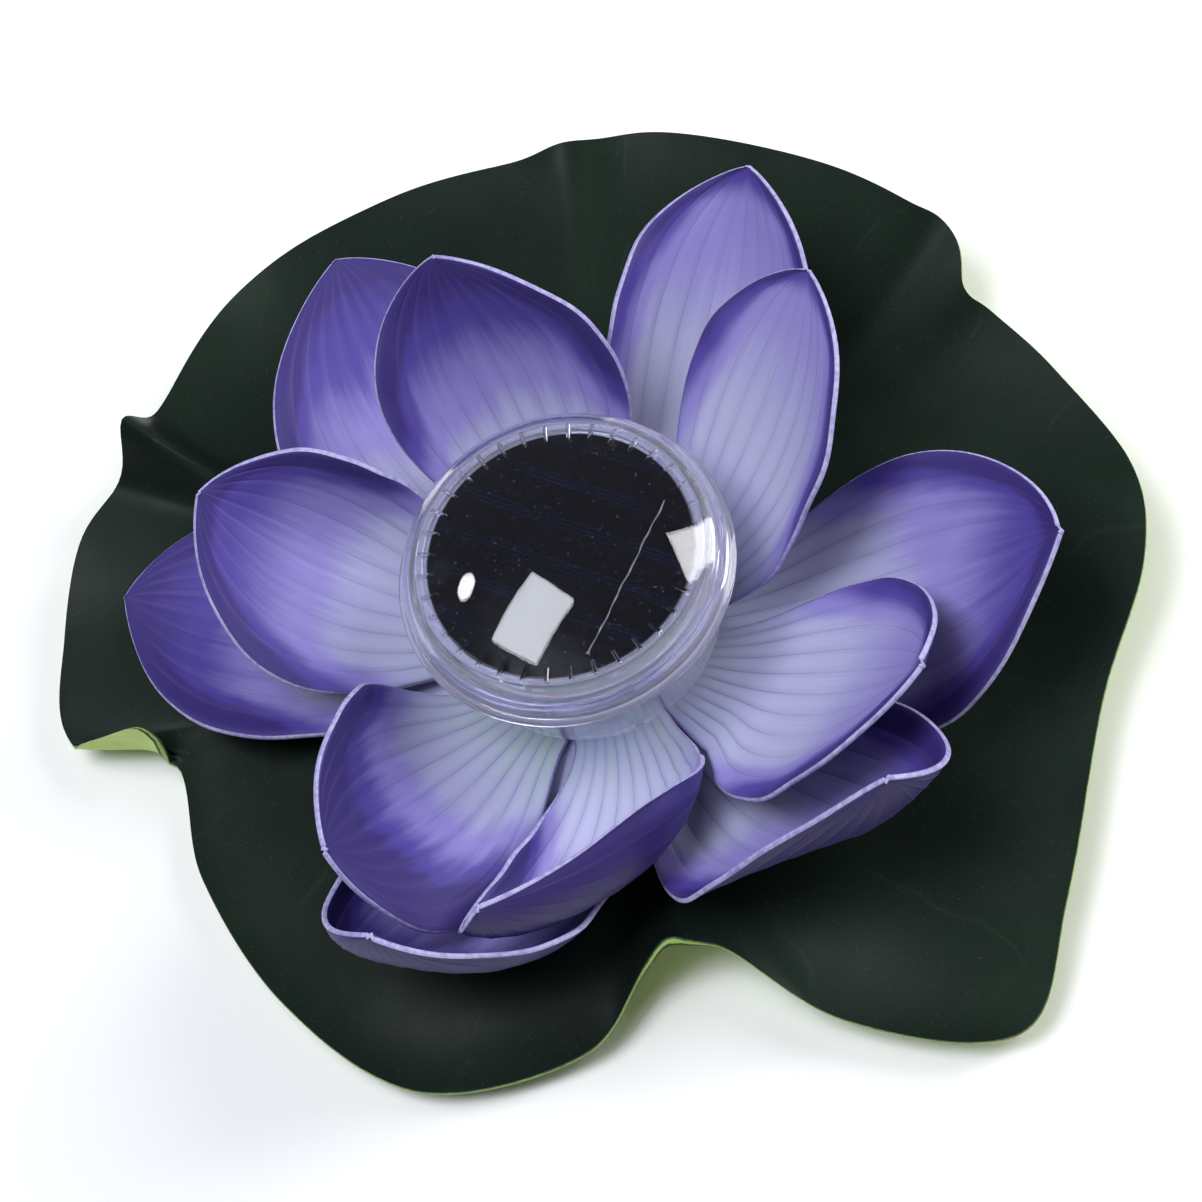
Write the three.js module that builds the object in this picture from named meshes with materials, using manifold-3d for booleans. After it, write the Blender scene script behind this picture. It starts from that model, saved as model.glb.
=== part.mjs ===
// A floating solar pool light: a foam water-lily flower on a foam lily pad, with a round
// solar lamp screwed through the middle. Millimetres, +Z up. The origin is at the flat
// underside of the retaining nut that the light stands on, in the middle of the whole
// object's box; the lamp's own axis is a little off that, because the pad is lopsided.
import * as THREE from "three";
import { mergeVertices } from "three/addons/utils/BufferGeometryUtils.js";
import Module from "manifold-3d";

const wasm = await Module();
wasm.setup();

// ---------------------------------------------------------------- driving dimensions
const GAP = 0.3; // clearance between pieces that touch
const FOAM = 2.3; // petal foam thickness
const PAD_FOAM = 2.8; // lily pad foam thickness
const NUT_HEIGHT = 9.4;
const NUT_RADIUS = 30;
const WASHER_THICK = 1.8;
const WASHER_RADIUS = 26;
const STEM_RADIUS = 16.4; // root radius of the threaded stem
const STEM_BORE = 14.2;
const STEM_END = 3.5; // height of the stem's lower end
const HOLE_RADIUS = 17.9; // hole through nut, washer, pad and petals
const THREAD_PITCH = 4;
const THREAD_TURNS = 1.25;
const BOWL_RADIUS = 37; // outside of the bowl's neck
const BOWL_WALL = 1.7;
const CAP_RADIUS = 40;
const FLANGE_RADIUS = 41.6; // the thin rim round the foot of the cap
const CAP_WALL = 1.5;
const CAP_TOP = 75.6;
const DOME_RADIUS = 76.2; // of the shallow ball that the dome is part of
const CAP_PITCH = 3;
const PANEL_RADIUS = 32.5;
const PANEL_THICK = 1.8;
const RIB_COUNT = 36;
const CELL_RADIUS = 5.2; // one AAA cell
const CELL_LENGTH = 43.5;
const BUTTON_RADIUS = 4.6;
const LEAD_RADIUS = 0.55;
const SWITCH_TRAVEL = 1.2;
const LAMP_X = 0.7; // where the lamp's axis stands; everything is built round it, then moved
const LAMP_Y = -8.9;
const ROUND = 40; // segments round the lamp

// heights that follow from the stack of clamped pieces
const WASHER_Z = NUT_HEIGHT + GAP;
const PAD_Z = WASHER_Z + WASHER_THICK + GAP;
const PAD_MID = PAD_Z + PAD_FOAM / 2;
const OUTER_MID = PAD_Z + PAD_FOAM + GAP + FOAM / 2;
const INNER_MID = OUTER_MID + FOAM + 2 * GAP;
const BOWL_Z = INNER_MID + FOAM / 2 + GAP; // underside of the bowl's shoulder
const NECK_Z = BOWL_Z + 33.4; // flange that the cap closes on
const CARRIER_Z = BOWL_Z + 38.4;
const CARRIER_THICK = 2.6;
const PANEL_Z = CARRIER_Z + CARRIER_THICK + GAP;
const CLAMP_Z = PANEL_Z + PANEL_THICK + GAP;
const BOARD_Z = BOWL_Z + 7.2;
const BOARD_THICK = 1.6;
const CELL_Z = BOWL_Z + 11.6;
const CELL_Y = 4;

// ---------------------------------------------------------------- materials
const COLOURS = {
  clear_plastic: ["#d9dcec", 0.12, 0],
  black_plastic: ["#1c1d20", 0.55, 0],
  grey_plastic: ["#8b9096", 0.5, 0],
  solar_black: ["#15161c", 0.15, 0],
  pad_green: ["#1e2422", 0.6, 0],
  petal_violet: ["#8f8cc4", 0.6, 0],
  rubber_grey: ["#3a3c40", 0.85, 0],
  board_green: ["#2f7a4c", 0.5, 0],
  steel: ["#b9bcc2", 0.3, 1],
  brass: ["#c9a550", 0.35, 1],
  cell_wrap: ["#3f8f5a", 0.4, 0],
  red_lead: ["#b3262b", 0.5, 0],
  black_lead: ["#18181a", 0.5, 0],
  ferrite: ["#4a4c50", 0.7, 0],
};

function material(name) {
  const [color, roughness, metalness] = COLOURS[name];
  return new THREE.MeshStandardMaterial({ color, roughness, metalness });
}

const light = new THREE.Group();

function place(name, geometry, look) {
  const mesh = new THREE.Mesh(geometry, material(look));
  mesh.name = name;
  light.add(mesh);
  return mesh;
}

// ---------------------------------------------------------------- solids
function solid(geometry) {
  const bare = geometry.index ? geometry.toNonIndexed() : geometry.clone();
  bare.deleteAttribute("normal");
  bare.deleteAttribute("uv");
  const merged = mergeVertices(bare, 1e-3);
  const mesh = new wasm.Mesh({
    numProp: 3,
    vertProperties: merged.attributes.position.array,
    triVerts: new Uint32Array(merged.index.array),
  });
  return new wasm.Manifold(mesh);
}

function geometryOf(manifold) {
  const mesh = manifold.getMesh();
  const geometry = new THREE.BufferGeometry();
  geometry.setAttribute("position", new THREE.BufferAttribute(mesh.vertProperties, 3));
  geometry.setIndex(new THREE.BufferAttribute(mesh.triVerts, 1));
  return geometry;
}

// A solid of revolution about Z from closed [radius, height] points, listed anticlockwise.
function turned(points, segments = ROUND) {
  const outline = points.concat([points[0]]);
  const profile = outline.map(([r, z]) => new THREE.Vector2(r, z));
  return new THREE.LatheGeometry(profile, segments).rotateX(Math.PI / 2);
}

// A solid of revolution whose profile starts and ends on the axis, bottom first.
function turnedSolid(points, segments = ROUND) {
  const profile = points.map(([r, z]) => new THREE.Vector2(r, z));
  return new THREE.LatheGeometry(profile, segments).rotateX(Math.PI / 2);
}

function disc(radius, low, high, segments = ROUND) {
  return turnedSolid([[0, low], [radius, low], [radius, high], [0, high]], segments);
}

function ring(inner, outer, low, high, segments = ROUND) {
  return turned([[inner, low], [outer, low], [outer, high], [inner, high]], segments);
}

function box(x0, x1, y0, y1, z0, z1) {
  const shape = new THREE.BoxGeometry(x1 - x0, y1 - y0, z1 - z0);
  return shape.translate((x0 + x1) / 2, (y0 + y1) / 2, (z0 + z1) / 2);
}

// A closed skin over a grid of stations, each a loop of points, with flat ends.
function loft(stations) {
  const around = stations[0].length;
  const points = stations.flat();
  const index = [];
  const at = (i, j) => i * around + (j % around);
  for (let i = 0; i < stations.length - 1; i++) {
    for (let j = 0; j < around; j++) {
      index.push(at(i, j), at(i + 1, j), at(i + 1, j + 1));
      index.push(at(i, j), at(i + 1, j + 1), at(i, j + 1));
    }
  }
  const last = stations.length - 1;
  for (let j = 1; j < around - 1; j++) {
    index.push(at(0, 0), at(0, j), at(0, j + 1));
    index.push(at(last, 0), at(last, j + 1), at(last, j));
  }
  const geometry = new THREE.BufferGeometry();
  const positions = new Float32Array(points.flat());
  geometry.setAttribute("position", new THREE.BufferAttribute(positions, 3));
  geometry.setIndex(index);
  return geometry;
}

// A helical ridge of four-sided section whose ends taper away.
function helixRidge(root, crest, pitch, turns, start, width) {
  const steps = Math.round(turns * 32);
  const stations = [];
  for (let i = 0; i <= steps; i++) {
    const t = i / steps;
    const angle = t * turns * 2 * Math.PI;
    const z = start + t * turns * pitch;
    const taper = Math.min(1, 6 * Math.min(t, 1 - t) + 0.15);
    const tip = root + (crest - root) * taper;
    const inside = crest > root ? root - 0.6 : root + 0.6;
    const section = [
      [inside, z - width / 2],
      [inside, z + width / 2],
      [tip, z + width / 4],
      [tip, z - width / 4],
    ];
    if (crest > root) section.reverse();
    stations.push(section.map(([r, h]) => [r * Math.cos(angle), r * Math.sin(angle), h]));
  }
  return loft(stations);
}

// ---------------------------------------------------------------- petals
// Each petal is bent by its owner from a flat one, so each has its own pose. Angles in
// degrees, in steps of 5 but for the azimuth of the foot: rise of the midrib at the foot and
// at the tip, then how far the left and right sides cup (radians, in quarters), twist and
// sideways bend along the length, and how late the sides and the midrib curl (1 is even, 2 is
// nearly all by the edge). The last number is the width as a share of the whorl's. All the
// petals of a whorl are cut to one size.
const INNER = { mid: INNER_MID, length: 82, width: 32.4, tag: "inner" };
const OUTER = { mid: OUTER_MID, length: 102, width: 35.4, tag: "outer" };
const EVEN = [0.8, 1];
const petal = (ring, azimuth, rise, cup, twist, bend, late = EVEN, share = 1) => ({
  ring, azimuth, rise, cup, twist, bend, late, length: ring.length, width: ring.width * share,
});
const PETALS = [
  petal(INNER, 147, [20, 50], [0.25, 1.25], -15, -5),
  petal(INNER, 83, [35, 60], [0.5, 0.5], -30, 5),
  petal(INNER, 9, [40, 40], [0.25, 0.75], -15, 15),
  petal(INNER, -52, [15, 60], [0.25, 0.25], -10, 5),
  petal(INNER, -99, [5, 85], [1.75, 2], 40, -25, [1.75, 1.5], 0.9),
  petal(INNER, -153, [15, 65], [-0.25, 1], -30, 5),
  petal(OUTER, 153, [5, 0], [0.5, 0], -5, -5),
  petal(OUTER, 110, [5, 25], [0.5, 0.5], 5, -10),
  petal(OUTER, 39, [5, 45], [1.5, 0.75], -20, 5),
  petal(OUTER, -25, [5, 50], [0.5, -0.25], -10, 0),
  petal(OUTER, -74, [0, 95], [1, 0], -40, 10, [0.5, 1.5]),
  petal(OUTER, -132, [0, 105], [1, 1.75], 10, -5, [2, 2]),
];
const FOOT_RADIUS = 29; // where a petal leaves the clamped sheet
const BASE_WIDTH = 0.42; // width at the foot over the widest
const WIDEST = 0.55; // how far out a petal is widest
const rad = THREE.MathUtils.degToRad;

function halfWidth(u) {
  if (u < WIDEST) {
    const grow = Math.pow(Math.sin((Math.max(u, 0) / WIDEST) * (Math.PI / 2)), 1.3);
    return BASE_WIDTH + (1 - BASE_WIDTH) * grow;
  }
  const t = (u - WIDEST) / (1 - WIDEST);
  return Math.max(Math.pow(1 - Math.pow(t, 2.1), 0.8), 0.02);
}

// Where a petal's midrib is at u, as its radius, height and slope.
function midrib(petal, u) {
  const [low, high] = petal.rise.map(rad);
  const late = petal.late[1];
  const steps = 24;
  let r = FOOT_RADIUS;
  let z = petal.ring.mid;
  for (let i = 0; i < steps; i++) {
    const s = low + (high - low) * Math.pow(((i + 0.5) / steps) * u, late);
    r += (Math.cos(s) * u * petal.length) / steps;
    z += (Math.sin(s) * u * petal.length) / steps;
  }
  return { r, z, slope: low + (high - low) * Math.pow(u, late) };
}

// A point on a petal: u from foot to tip, v from -1 to 1 across, lift along its normal.
function petalPoint(petal, u, v, lift) {
  const { r, z, slope } = midrib(petal, u);
  const turn = rad(petal.azimuth + petal.bend * u * u);
  const side = v < 0 ? petal.right : petal.left;
  const limit = r * Math.tan(side) - 0.4 + 40 * Math.max(0, u - 0.2);
  const wide = petal.width * halfWidth(u);
  const half = Math.min(wide, limit);
  const full = halfWidth(u);
  const open = u < WIDEST ? Math.max(full - BASE_WIDTH, 0) / (1 - BASE_WIDTH) : full;
  const cup = (v < 0 ? petal.cup[1] : petal.cup[0]) * open;
  const late = petal.late[0];
  const steps = 12;
  let across = 0;
  let up = 0;
  for (let i = 0; i < steps; i++) {
    const bend = cup * Math.pow(((i + 0.5) / steps) * Math.abs(v), late);
    across += (Math.cos(bend) * half * Math.abs(v)) / steps;
    up += (Math.sin(bend) * half * Math.abs(v)) / steps;
  }
  const end = cup * Math.pow(Math.abs(v), late) * Math.sign(v);
  across = across * Math.sign(v) - lift * Math.sin(end);
  up += lift * Math.cos(end);
  const twist = rad(petal.twist) * Math.pow(u, 1.5);
  const sideways = across * Math.cos(twist) - up * Math.sin(twist);
  const normal = across * Math.sin(twist) + up * Math.cos(twist);
  const out = r - normal * Math.sin(slope);
  const x = out * Math.cos(turn) - sideways * Math.sin(turn);
  const y = out * Math.sin(turn) + sideways * Math.cos(turn);
  return [x, y, z + normal * Math.cos(slope)];
}

const ACROSS = [-1, -0.72, -0.4, 0, 0.4, 0.72, 1];
const ALONG = [0, 0.12, 0.26, 0.4, 0.53, 0.66, 0.78, 0.88, 0.95, 1];

function petalSolid(petal) {
  const stations = [];
  const foot = [HOLE_RADIUS + GAP, (HOLE_RADIUS + FOOT_RADIUS) / 2];
  for (const r of foot) {
    const [left, right] = [petal.left, petal.right].map((a) => r * Math.tan(a) - 0.4);
    const widths = ACROSS.map((v) => (v < 0 ? v * right : v * left));
    const turn = rad(petal.azimuth);
    const point = (w, h) => [
      r * Math.cos(turn) - w * Math.sin(turn),
      r * Math.sin(turn) + w * Math.cos(turn),
      petal.ring.mid + h,
    ];
    const top = widths.map((w) => point(w, FOAM / 2));
    const bottom = widths.map((w) => point(w, -FOAM / 2)).reverse();
    stations.push(top.concat(bottom));
  }
  for (const u of ALONG) {
    const top = ACROSS.map((v) => petalPoint(petal, u, v, FOAM / 2));
    const bottom = ACROSS.map((v) => petalPoint(petal, u, v, -FOAM / 2)).reverse();
    stations.push(top.concat(bottom));
  }
  return loft(stations);
}

// Each whorl's foot sheet is shared out half way between neighbouring petals.
function shareFeet(whorl) {
  whorl.forEach((petal, i) => {
    const before = whorl[(i + whorl.length - 1) % whorl.length];
    const after = whorl[(i + 1) % whorl.length];
    const turnTo = (other) => (other.azimuth - petal.azimuth + 720) % 360;
    const most = rad(33);
    petal.left = Math.min(rad(turnTo(before)) / 2, most);
    petal.right = Math.min(rad(360 - turnTo(after)) / 2, most);
  });
}

function buildPetals() {
  for (const ringOf of [INNER, OUTER]) {
    const whorl = PETALS.filter((petal) => petal.ring === ringOf);
    shareFeet(whorl);
    whorl.forEach((petal, i) => {
      place(`petal_${ringOf.tag}_${i + 1}`, petalSolid(petal), "petal_violet");
    });
  }
}

// ---------------------------------------------------------------- lily pad
// The rim turns round these points, [azimuth in degrees, radius, height] anticlockwise:
// a nick, the back, an upright fold, the left notch, a lobe, the front notch and a lobe.
const RIM = [
  [-35, 127, 16], [-20, 137, 20], [-9, 140, 20], [5, 135, 21], [15, 133, 21], [20, 134, 19],
  [26, 144, 22], [42, 151, 19], [60, 152, 23], [72, 149, 24], [90, 154, 20], [110, 155, 20],
  [124, 148, 21], [130, 143, 36], [135, 146, 20], [142, 150, 19], [152, 149, 15],
  [163, 146, 10], [168, 118, 9], [185, 119, 8], [205, 121, 7], [225, 122, 5], [245, 106, 8],
  [256, 86, 17], [266, 88, 19], [277, 117, 10], [290, 145, 6], [303, 135, 12],
];
const RIM_STEPS = 2; // stations in each span of the rim
const PAD_RINGS = [0, 0.35, 0.6, 0.8, 0.93, 1]; // fractions from the clamped disc to the rim
const PAD_FLAT = 40; // radius that stays flat
const PAD_RISE = 5; // how late the pad bends towards its rim

// The rim as stations on a smooth closed curve through its points.
function rimStations() {
  const points = RIM.map(([azimuth, radius, height]) => new THREE.Vector3(
    radius * Math.cos(rad(azimuth)), radius * Math.sin(rad(azimuth)), height,
  ));
  const curve = new THREE.CatmullRomCurve3(points, true, "catmullrom", 0.5);
  return curve.getPoints(RIM.length * RIM_STEPS).map((point) => [
    THREE.MathUtils.radToDeg(Math.atan2(point.y, point.x)), Math.hypot(point.x, point.y), point.z,
  ]);
}

function padPoint(rim, fraction, lift) {
  const [azimuth, radius, height] = rim;
  const r = PAD_FLAT + (radius - PAD_FLAT) * fraction;
  const z = PAD_MID + (height - PAD_MID) * Math.pow(fraction, PAD_RISE) + lift;
  return [r * Math.cos(rad(azimuth)), r * Math.sin(rad(azimuth)), z];
}

function buildPad() {
  const half = PAD_FOAM / 2;
  const stations = rimStations().map((rim) => {
    const inner = (lift) => {
      const [x, y] = [Math.cos(rad(rim[0])), Math.sin(rad(rim[0]))];
      return [HOLE_RADIUS * x, HOLE_RADIUS * y, PAD_MID + lift];
    };
    const top = [inner(half)].concat(PAD_RINGS.map((f) => padPoint(rim, f, half)));
    const bottom = PAD_RINGS.map((f) => padPoint(rim, f, -half)).reverse();
    return top.concat(bottom, [inner(-half)]);
  });
  place("lily_pad", closedLoop(stations), "pad_green");
}

// A skin over stations that close on themselves, so it has no ends.
function closedLoop(stations) {
  const around = stations[0].length;
  const count = stations.length - 1;
  const index = [];
  const at = (i, j) => (i % count) * around + (j % around);
  for (let i = 0; i < count; i++) {
    for (let j = 0; j < around; j++) {
      index.push(at(i, j), at(i, j + 1), at(i + 1, j + 1));
      index.push(at(i, j), at(i + 1, j + 1), at(i + 1, j));
    }
  }
  const geometry = new THREE.BufferGeometry();
  const positions = new Float32Array(stations.slice(0, count).flat(2));
  geometry.setAttribute("position", new THREE.BufferAttribute(positions, 3));
  geometry.setIndex(index);
  return geometry;
}

// ---------------------------------------------------------------- nut and washer
function buildNut() {
  const outline = new THREE.Shape();
  const grips = 12;
  for (let i = 0; i <= grips * 6; i++) {
    const angle = (i / (grips * 6)) * 2 * Math.PI;
    const r = NUT_RADIUS - 0.9 + 0.9 * Math.cos(angle * grips);
    const [x, y] = [r * Math.cos(angle), r * Math.sin(angle)];
    if (i === 0) outline.moveTo(x, y);
    else outline.lineTo(x, y);
  }
  const hole = new THREE.Path();
  hole.absarc(0, 0, HOLE_RADIUS, 0, 2 * Math.PI, true);
  outline.holes.push(hole);
  const blank = new THREE.ExtrudeGeometry(outline, {
    depth: NUT_HEIGHT,
    bevelEnabled: false,
    curveSegments: 40,
  });
  const threadStart = THREAD_PITCH / 2 + 1.2;
  const ridge = helixRidge(HOLE_RADIUS, 16.9, THREAD_PITCH, THREAD_TURNS, threadStart, 1.6);
  place("retaining_nut", geometryOf(solid(blank).add(solid(ridge))), "clear_plastic");
  const washer = ring(HOLE_RADIUS, WASHER_RADIUS, WASHER_Z, WASHER_Z + WASHER_THICK);
  place("nut_washer", washer, "rubber_grey");
}

// ---------------------------------------------------------------- lamp body
// Outside of the bowl from the shoulder's flat up to the neck flange.
const BOWL_OUTSIDE = [
  [23, 0], [28, 0.9], [31.4, 3.6], [33.4, 8], [35.2, 16], [36.6, 26], [37.1, 31.6],
];
const POSTS = [30, 150, 270]; // bearings of the carrier's screw posts
const POST_AT = 30;

function buildBowl() {
  const outside = BOWL_OUTSIDE.map(([r, h]) => [r, BOWL_Z + h]);
  const thicken = (h) => (h < 3 ? BOWL_WALL : 0.4);
  const inside = BOWL_OUTSIDE.map(([r, h]) => [r - BOWL_WALL, BOWL_Z + h + thicken(h)]);
  const neckTop = NECK_Z + 9.2;
  const profile = [
    [5.3, STEM_END], [STEM_RADIUS, STEM_END], [STEM_RADIUS, BOWL_Z], ...outside,
    [CAP_RADIUS, NECK_Z - 1], [CAP_RADIUS, NECK_Z], [BOWL_RADIUS, NECK_Z + 0.1],
    [BOWL_RADIUS, neckTop], [BOWL_RADIUS - BOWL_WALL, neckTop],
    [BOWL_RADIUS - BOWL_WALL, NECK_Z], ...inside.reverse(),
    [STEM_BORE, BOWL_Z + BOWL_WALL], [STEM_BORE, STEM_END + 1.6], [5.3, STEM_END + 1.6],
  ];
  let body = solid(turned(profile));
  const stemThread = helixRidge(STEM_RADIUS, 17.4, THREAD_PITCH, THREAD_TURNS, STEM_END + 0.9, 1.6);
  const neckThread = helixRidge(BOWL_RADIUS, 37.8, CAP_PITCH, 1, NECK_Z + 2.9, 1.1);
  body = body.add(solid(stemThread)).add(solid(neckThread));
  const envelope = solid(turnedSolid([
    [0, BOWL_Z + 0.6], ...outside.map(([r, z]) => [r - 0.6, z + 0.6]), [36, CARRIER_Z],
    [0, CARRIER_Z],
  ]));
  for (const bearing of POSTS) {
    const post = disc(2.6, BOWL_Z, CARRIER_Z - GAP, 12);
    const bore = disc(1.0, CARRIER_Z - 9, CARRIER_Z + 1, 10);
    const move = [POST_AT * Math.cos(rad(bearing)), POST_AT * Math.sin(rad(bearing)), 0];
    body = body.add(solid(post.translate(...move)).intersect(envelope));
    body = body.subtract(solid(bore.translate(...move)));
  }
  for (const x of [-BOARD_HOLE_X, BOARD_HOLE_X]) {
    const post = disc(2.2, BOWL_Z + 1, BOARD_Z - GAP, 12).translate(x, BOARD_HOLE_Y, 0);
    const bore = disc(0.8, BOARD_Z - 5, BOARD_Z + 1, 10).translate(x, BOARD_HOLE_Y, 0);
    body = body.add(solid(post)).subtract(solid(bore));
  }
  place("lower_bowl", geometryOf(body), "clear_plastic");
}

// The dome cap: a thin rim, a wall that leans in over a thread, and a shallow dome on top.
function buildCap() {
  const low = NECK_Z + GAP + 1.6 + GAP;
  const dome = (r, drop) => CAP_TOP - drop - DOME_RADIUS + Math.sqrt(DOME_RADIUS ** 2 - r * r);
  const reach = [36, 29, 22, 14, 7];
  const outer = reach.map((r) => [r, dome(r, 0)]);
  const inner = reach.map((r) => [r - 1.4, dome(r - 1.4, CAP_WALL)]).reverse();
  const inside = BOWL_RADIUS + 1.2;
  const profile = [
    [0, CAP_TOP - CAP_WALL], ...inner, [36.2, low + 8.6], [37.4, low + 7.4],
    [inside, low + 6], [inside, low], [FLANGE_RADIUS, low], [FLANGE_RADIUS, low + 1.2],
    [40.3, low + 1.6], [CAP_RADIUS, low + 3.2], [39.7, low + 5], [39.2, low + 6.6],
    [38.4, low + 8.2], [37.2, low + 9.6], ...outer, [0, CAP_TOP],
  ];
  const shell = solid(turnedSolid(profile));
  const ridge = helixRidge(inside, 37.4, CAP_PITCH, 1, NECK_Z + 2.9 + CAP_PITCH / 2, 1.1);
  place("dome_cap", geometryOf(shell.add(solid(ridge))), "clear_plastic");
  const gasket = ring(BOWL_RADIUS + 1.1, CAP_RADIUS - 0.5, NECK_Z + GAP, NECK_Z + GAP + 1.6);
  place("cap_gasket", gasket, "rubber_grey");
}

// ---------------------------------------------------------------- panel and its holders
function buildPanel() {
  const outer = BOWL_RADIUS - BOWL_WALL - GAP;
  let carrier = solid(ring(26.5, outer, CARRIER_Z, CARRIER_Z + CARRIER_THICK));
  POSTS.forEach((bearing, i) => {
    const move = [POST_AT * Math.cos(rad(bearing)), POST_AT * Math.sin(rad(bearing)), 0];
    const sink = disc(2.3, CARRIER_Z + 1, CARRIER_Z + 4, 12).translate(...move);
    const through = disc(1.3, CARRIER_Z - 1, CARRIER_Z + 2, 10).translate(...move);
    carrier = carrier.subtract(solid(sink)).subtract(solid(through));
    const screw = turnedSolid([
      [0, CARRIER_Z - 6], [0.7, CARRIER_Z - 5.4], [0.7, CARRIER_Z + 1.3],
      [2, CARRIER_Z + 1.3], [2, CARRIER_Z + 2.3], [0, CARRIER_Z + 2.3],
    ], 10);
    place(`carrier_screw_${i + 1}`, screw.translate(...move), "steel");
  });
  place("panel_carrier", geometryOf(carrier), "clear_plastic");
  place("solar_panel", disc(PANEL_RADIUS, PANEL_Z, PANEL_Z + PANEL_THICK), "solar_black");
  let clamp = solid(ring(33, outer, CLAMP_Z, CLAMP_Z + 1));
  for (let i = 0; i < RIB_COUNT; i++) {
    const rib = box(30.4, outer - 0.8, -0.4, 0.4, CLAMP_Z + 0.2, CLAMP_Z + 1.6);
    clamp = clamp.add(solid(rib.rotateZ((i / RIB_COUNT) * 2 * Math.PI)));
  }
  place("panel_clamp_ring", geometryOf(clamp), "clear_plastic");
}

// ---------------------------------------------------------------- electronics
const BOARD_RADIUS = 26.8;
const BOARD_EDGE = -11;
const BOARD_HOLE_X = 20;
const BOARD_HOLE_Y = -14.5;
const LED_Y = -19;

function buildBoard() {
  const shape = new THREE.Shape();
  const reach = Math.asin(-BOARD_EDGE / BOARD_RADIUS);
  shape.absarc(0, 0, BOARD_RADIUS, Math.PI + reach, 2 * Math.PI - reach, false);
  shape.closePath();
  for (const x of [-BOARD_HOLE_X, BOARD_HOLE_X]) {
    const hole = new THREE.Path();
    hole.absarc(x, BOARD_HOLE_Y, 1.2, 0, 2 * Math.PI, true);
    shape.holes.push(hole);
  }
  const board = new THREE.ExtrudeGeometry(shape, {
    depth: BOARD_THICK,
    bevelEnabled: false,
    curveSegments: 12,
  });
  place("circuit_board", board.translate(0, 0, BOARD_Z), "board_green");
  const top = BOARD_Z + BOARD_THICK + GAP;
  [-BOARD_HOLE_X, BOARD_HOLE_X].forEach((x, i) => {
    const screw = turnedSolid([
      [0, BOARD_Z - 4], [0.5, BOARD_Z - 3.6], [0.5, top], [1.9, top], [1.9, top + 0.9],
      [0, top + 1.2],
    ], 10);
    place(`board_screw_${i + 1}`, screw.translate(x, BOARD_HOLE_Y, 0), "steel");
  });
  const lens = turnedSolid([
    [0, top], [2.9, top], [2.9, top + 1], [2.5, top + 1], [2.5, top + 5.6],
    [1.8, top + 7.4], [0, top + 8.1],
  ], 16);
  place("led", lens.translate(0, LED_Y, 0), "clear_plastic");
  place("controller_chip", box(-14.5, -10.5, -21, -18, top, top + 1.4), "black_plastic");
  place("boost_inductor", disc(2.4, top, top + 3.2, 14).translate(9, -22, 0), "ferrite");
  return top;
}

function buildCell() {
  const half = CELL_LENGTH / 2;
  const cell = turnedSolid([
    [0, -half], [CELL_RADIUS, -half], [CELL_RADIUS, half - 1], [1.9, half - 1],
    [1.9, half], [0, half],
  ], 24).rotateY(Math.PI / 2).translate(0, CELL_Y, CELL_Z);
  place("battery_cell", cell, "cell_wrap");
  const low = BOWL_Z + BOWL_WALL + GAP;
  const reach = half + 1.7;
  let cradle = solid(box(-20, 20, CELL_Y - 7, CELL_Y + 7, CELL_Z - 6.4, CELL_Z - 1.6));
  const trough = disc(CELL_RADIUS + GAP, -half - 1, half + 1, 24);
  trough.rotateY(Math.PI / 2).translate(0, CELL_Y, CELL_Z);
  cradle = cradle.subtract(solid(trough));
  for (const x of [-18, 14]) {
    const leg = box(x, x + 4, CELL_Y - 6, CELL_Y + 6, low, CELL_Z - 6);
    cradle = cradle.add(solid(leg));
  }
  place("battery_cradle", geometryOf(cradle), "black_plastic");
  const plate = box(reach - 1.1, reach - 0.7, CELL_Y - 4, CELL_Y + 4, CELL_Z - 4, CELL_Z + 4);
  place("contact_plate", plate, "brass");
  const spring = new THREE.BoxGeometry(0.4, 8, 8).translate(-reach + 0.9, CELL_Y, CELL_Z);
  place("contact_spring", spring, "brass");
}

// The push switch at the bottom of the stem, worked through the nut's opening.
function buildSwitch() {
  const flange = STEM_END + 1.6 + GAP;
  const button = turnedSolid([
    [0, STEM_END - 1.7], [BUTTON_RADIUS - 0.6, STEM_END - 1.7], [BUTTON_RADIUS, STEM_END - 1.1],
    [BUTTON_RADIUS, flange], [6.4, flange], [6.4, flange + 1], [2, flange + 1],
    [2, flange + 4.4], [0, flange + 4.4],
  ], 24);
  place("switch_button", button, "black_plastic");
  const low = flange + 1 + SWITCH_TRAVEL + GAP;
  const block = box(-6, 6, -6, 6, low, low + 8);
  const well = disc(2.4, low - 1, low + 3.6, 16);
  place("switch_housing", geometryOf(solid(block).subtract(solid(well))), "grey_plastic");
  return low + 8;
}

// A lead along a smooth curve through the given points.
function lead(name, points, look) {
  const path = new THREE.CatmullRomCurve3(points.map((p) => new THREE.Vector3(...p)));
  const section = new THREE.Shape();
  section.absarc(0, 0, LEAD_RADIUS, 0, 2 * Math.PI, false);
  const geometry = new THREE.ExtrudeGeometry(section, {
    steps: 12,
    extrudePath: path,
    curveSegments: 4,
    bevelEnabled: false,
  });
  place(name, geometry, look);
}

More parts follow.
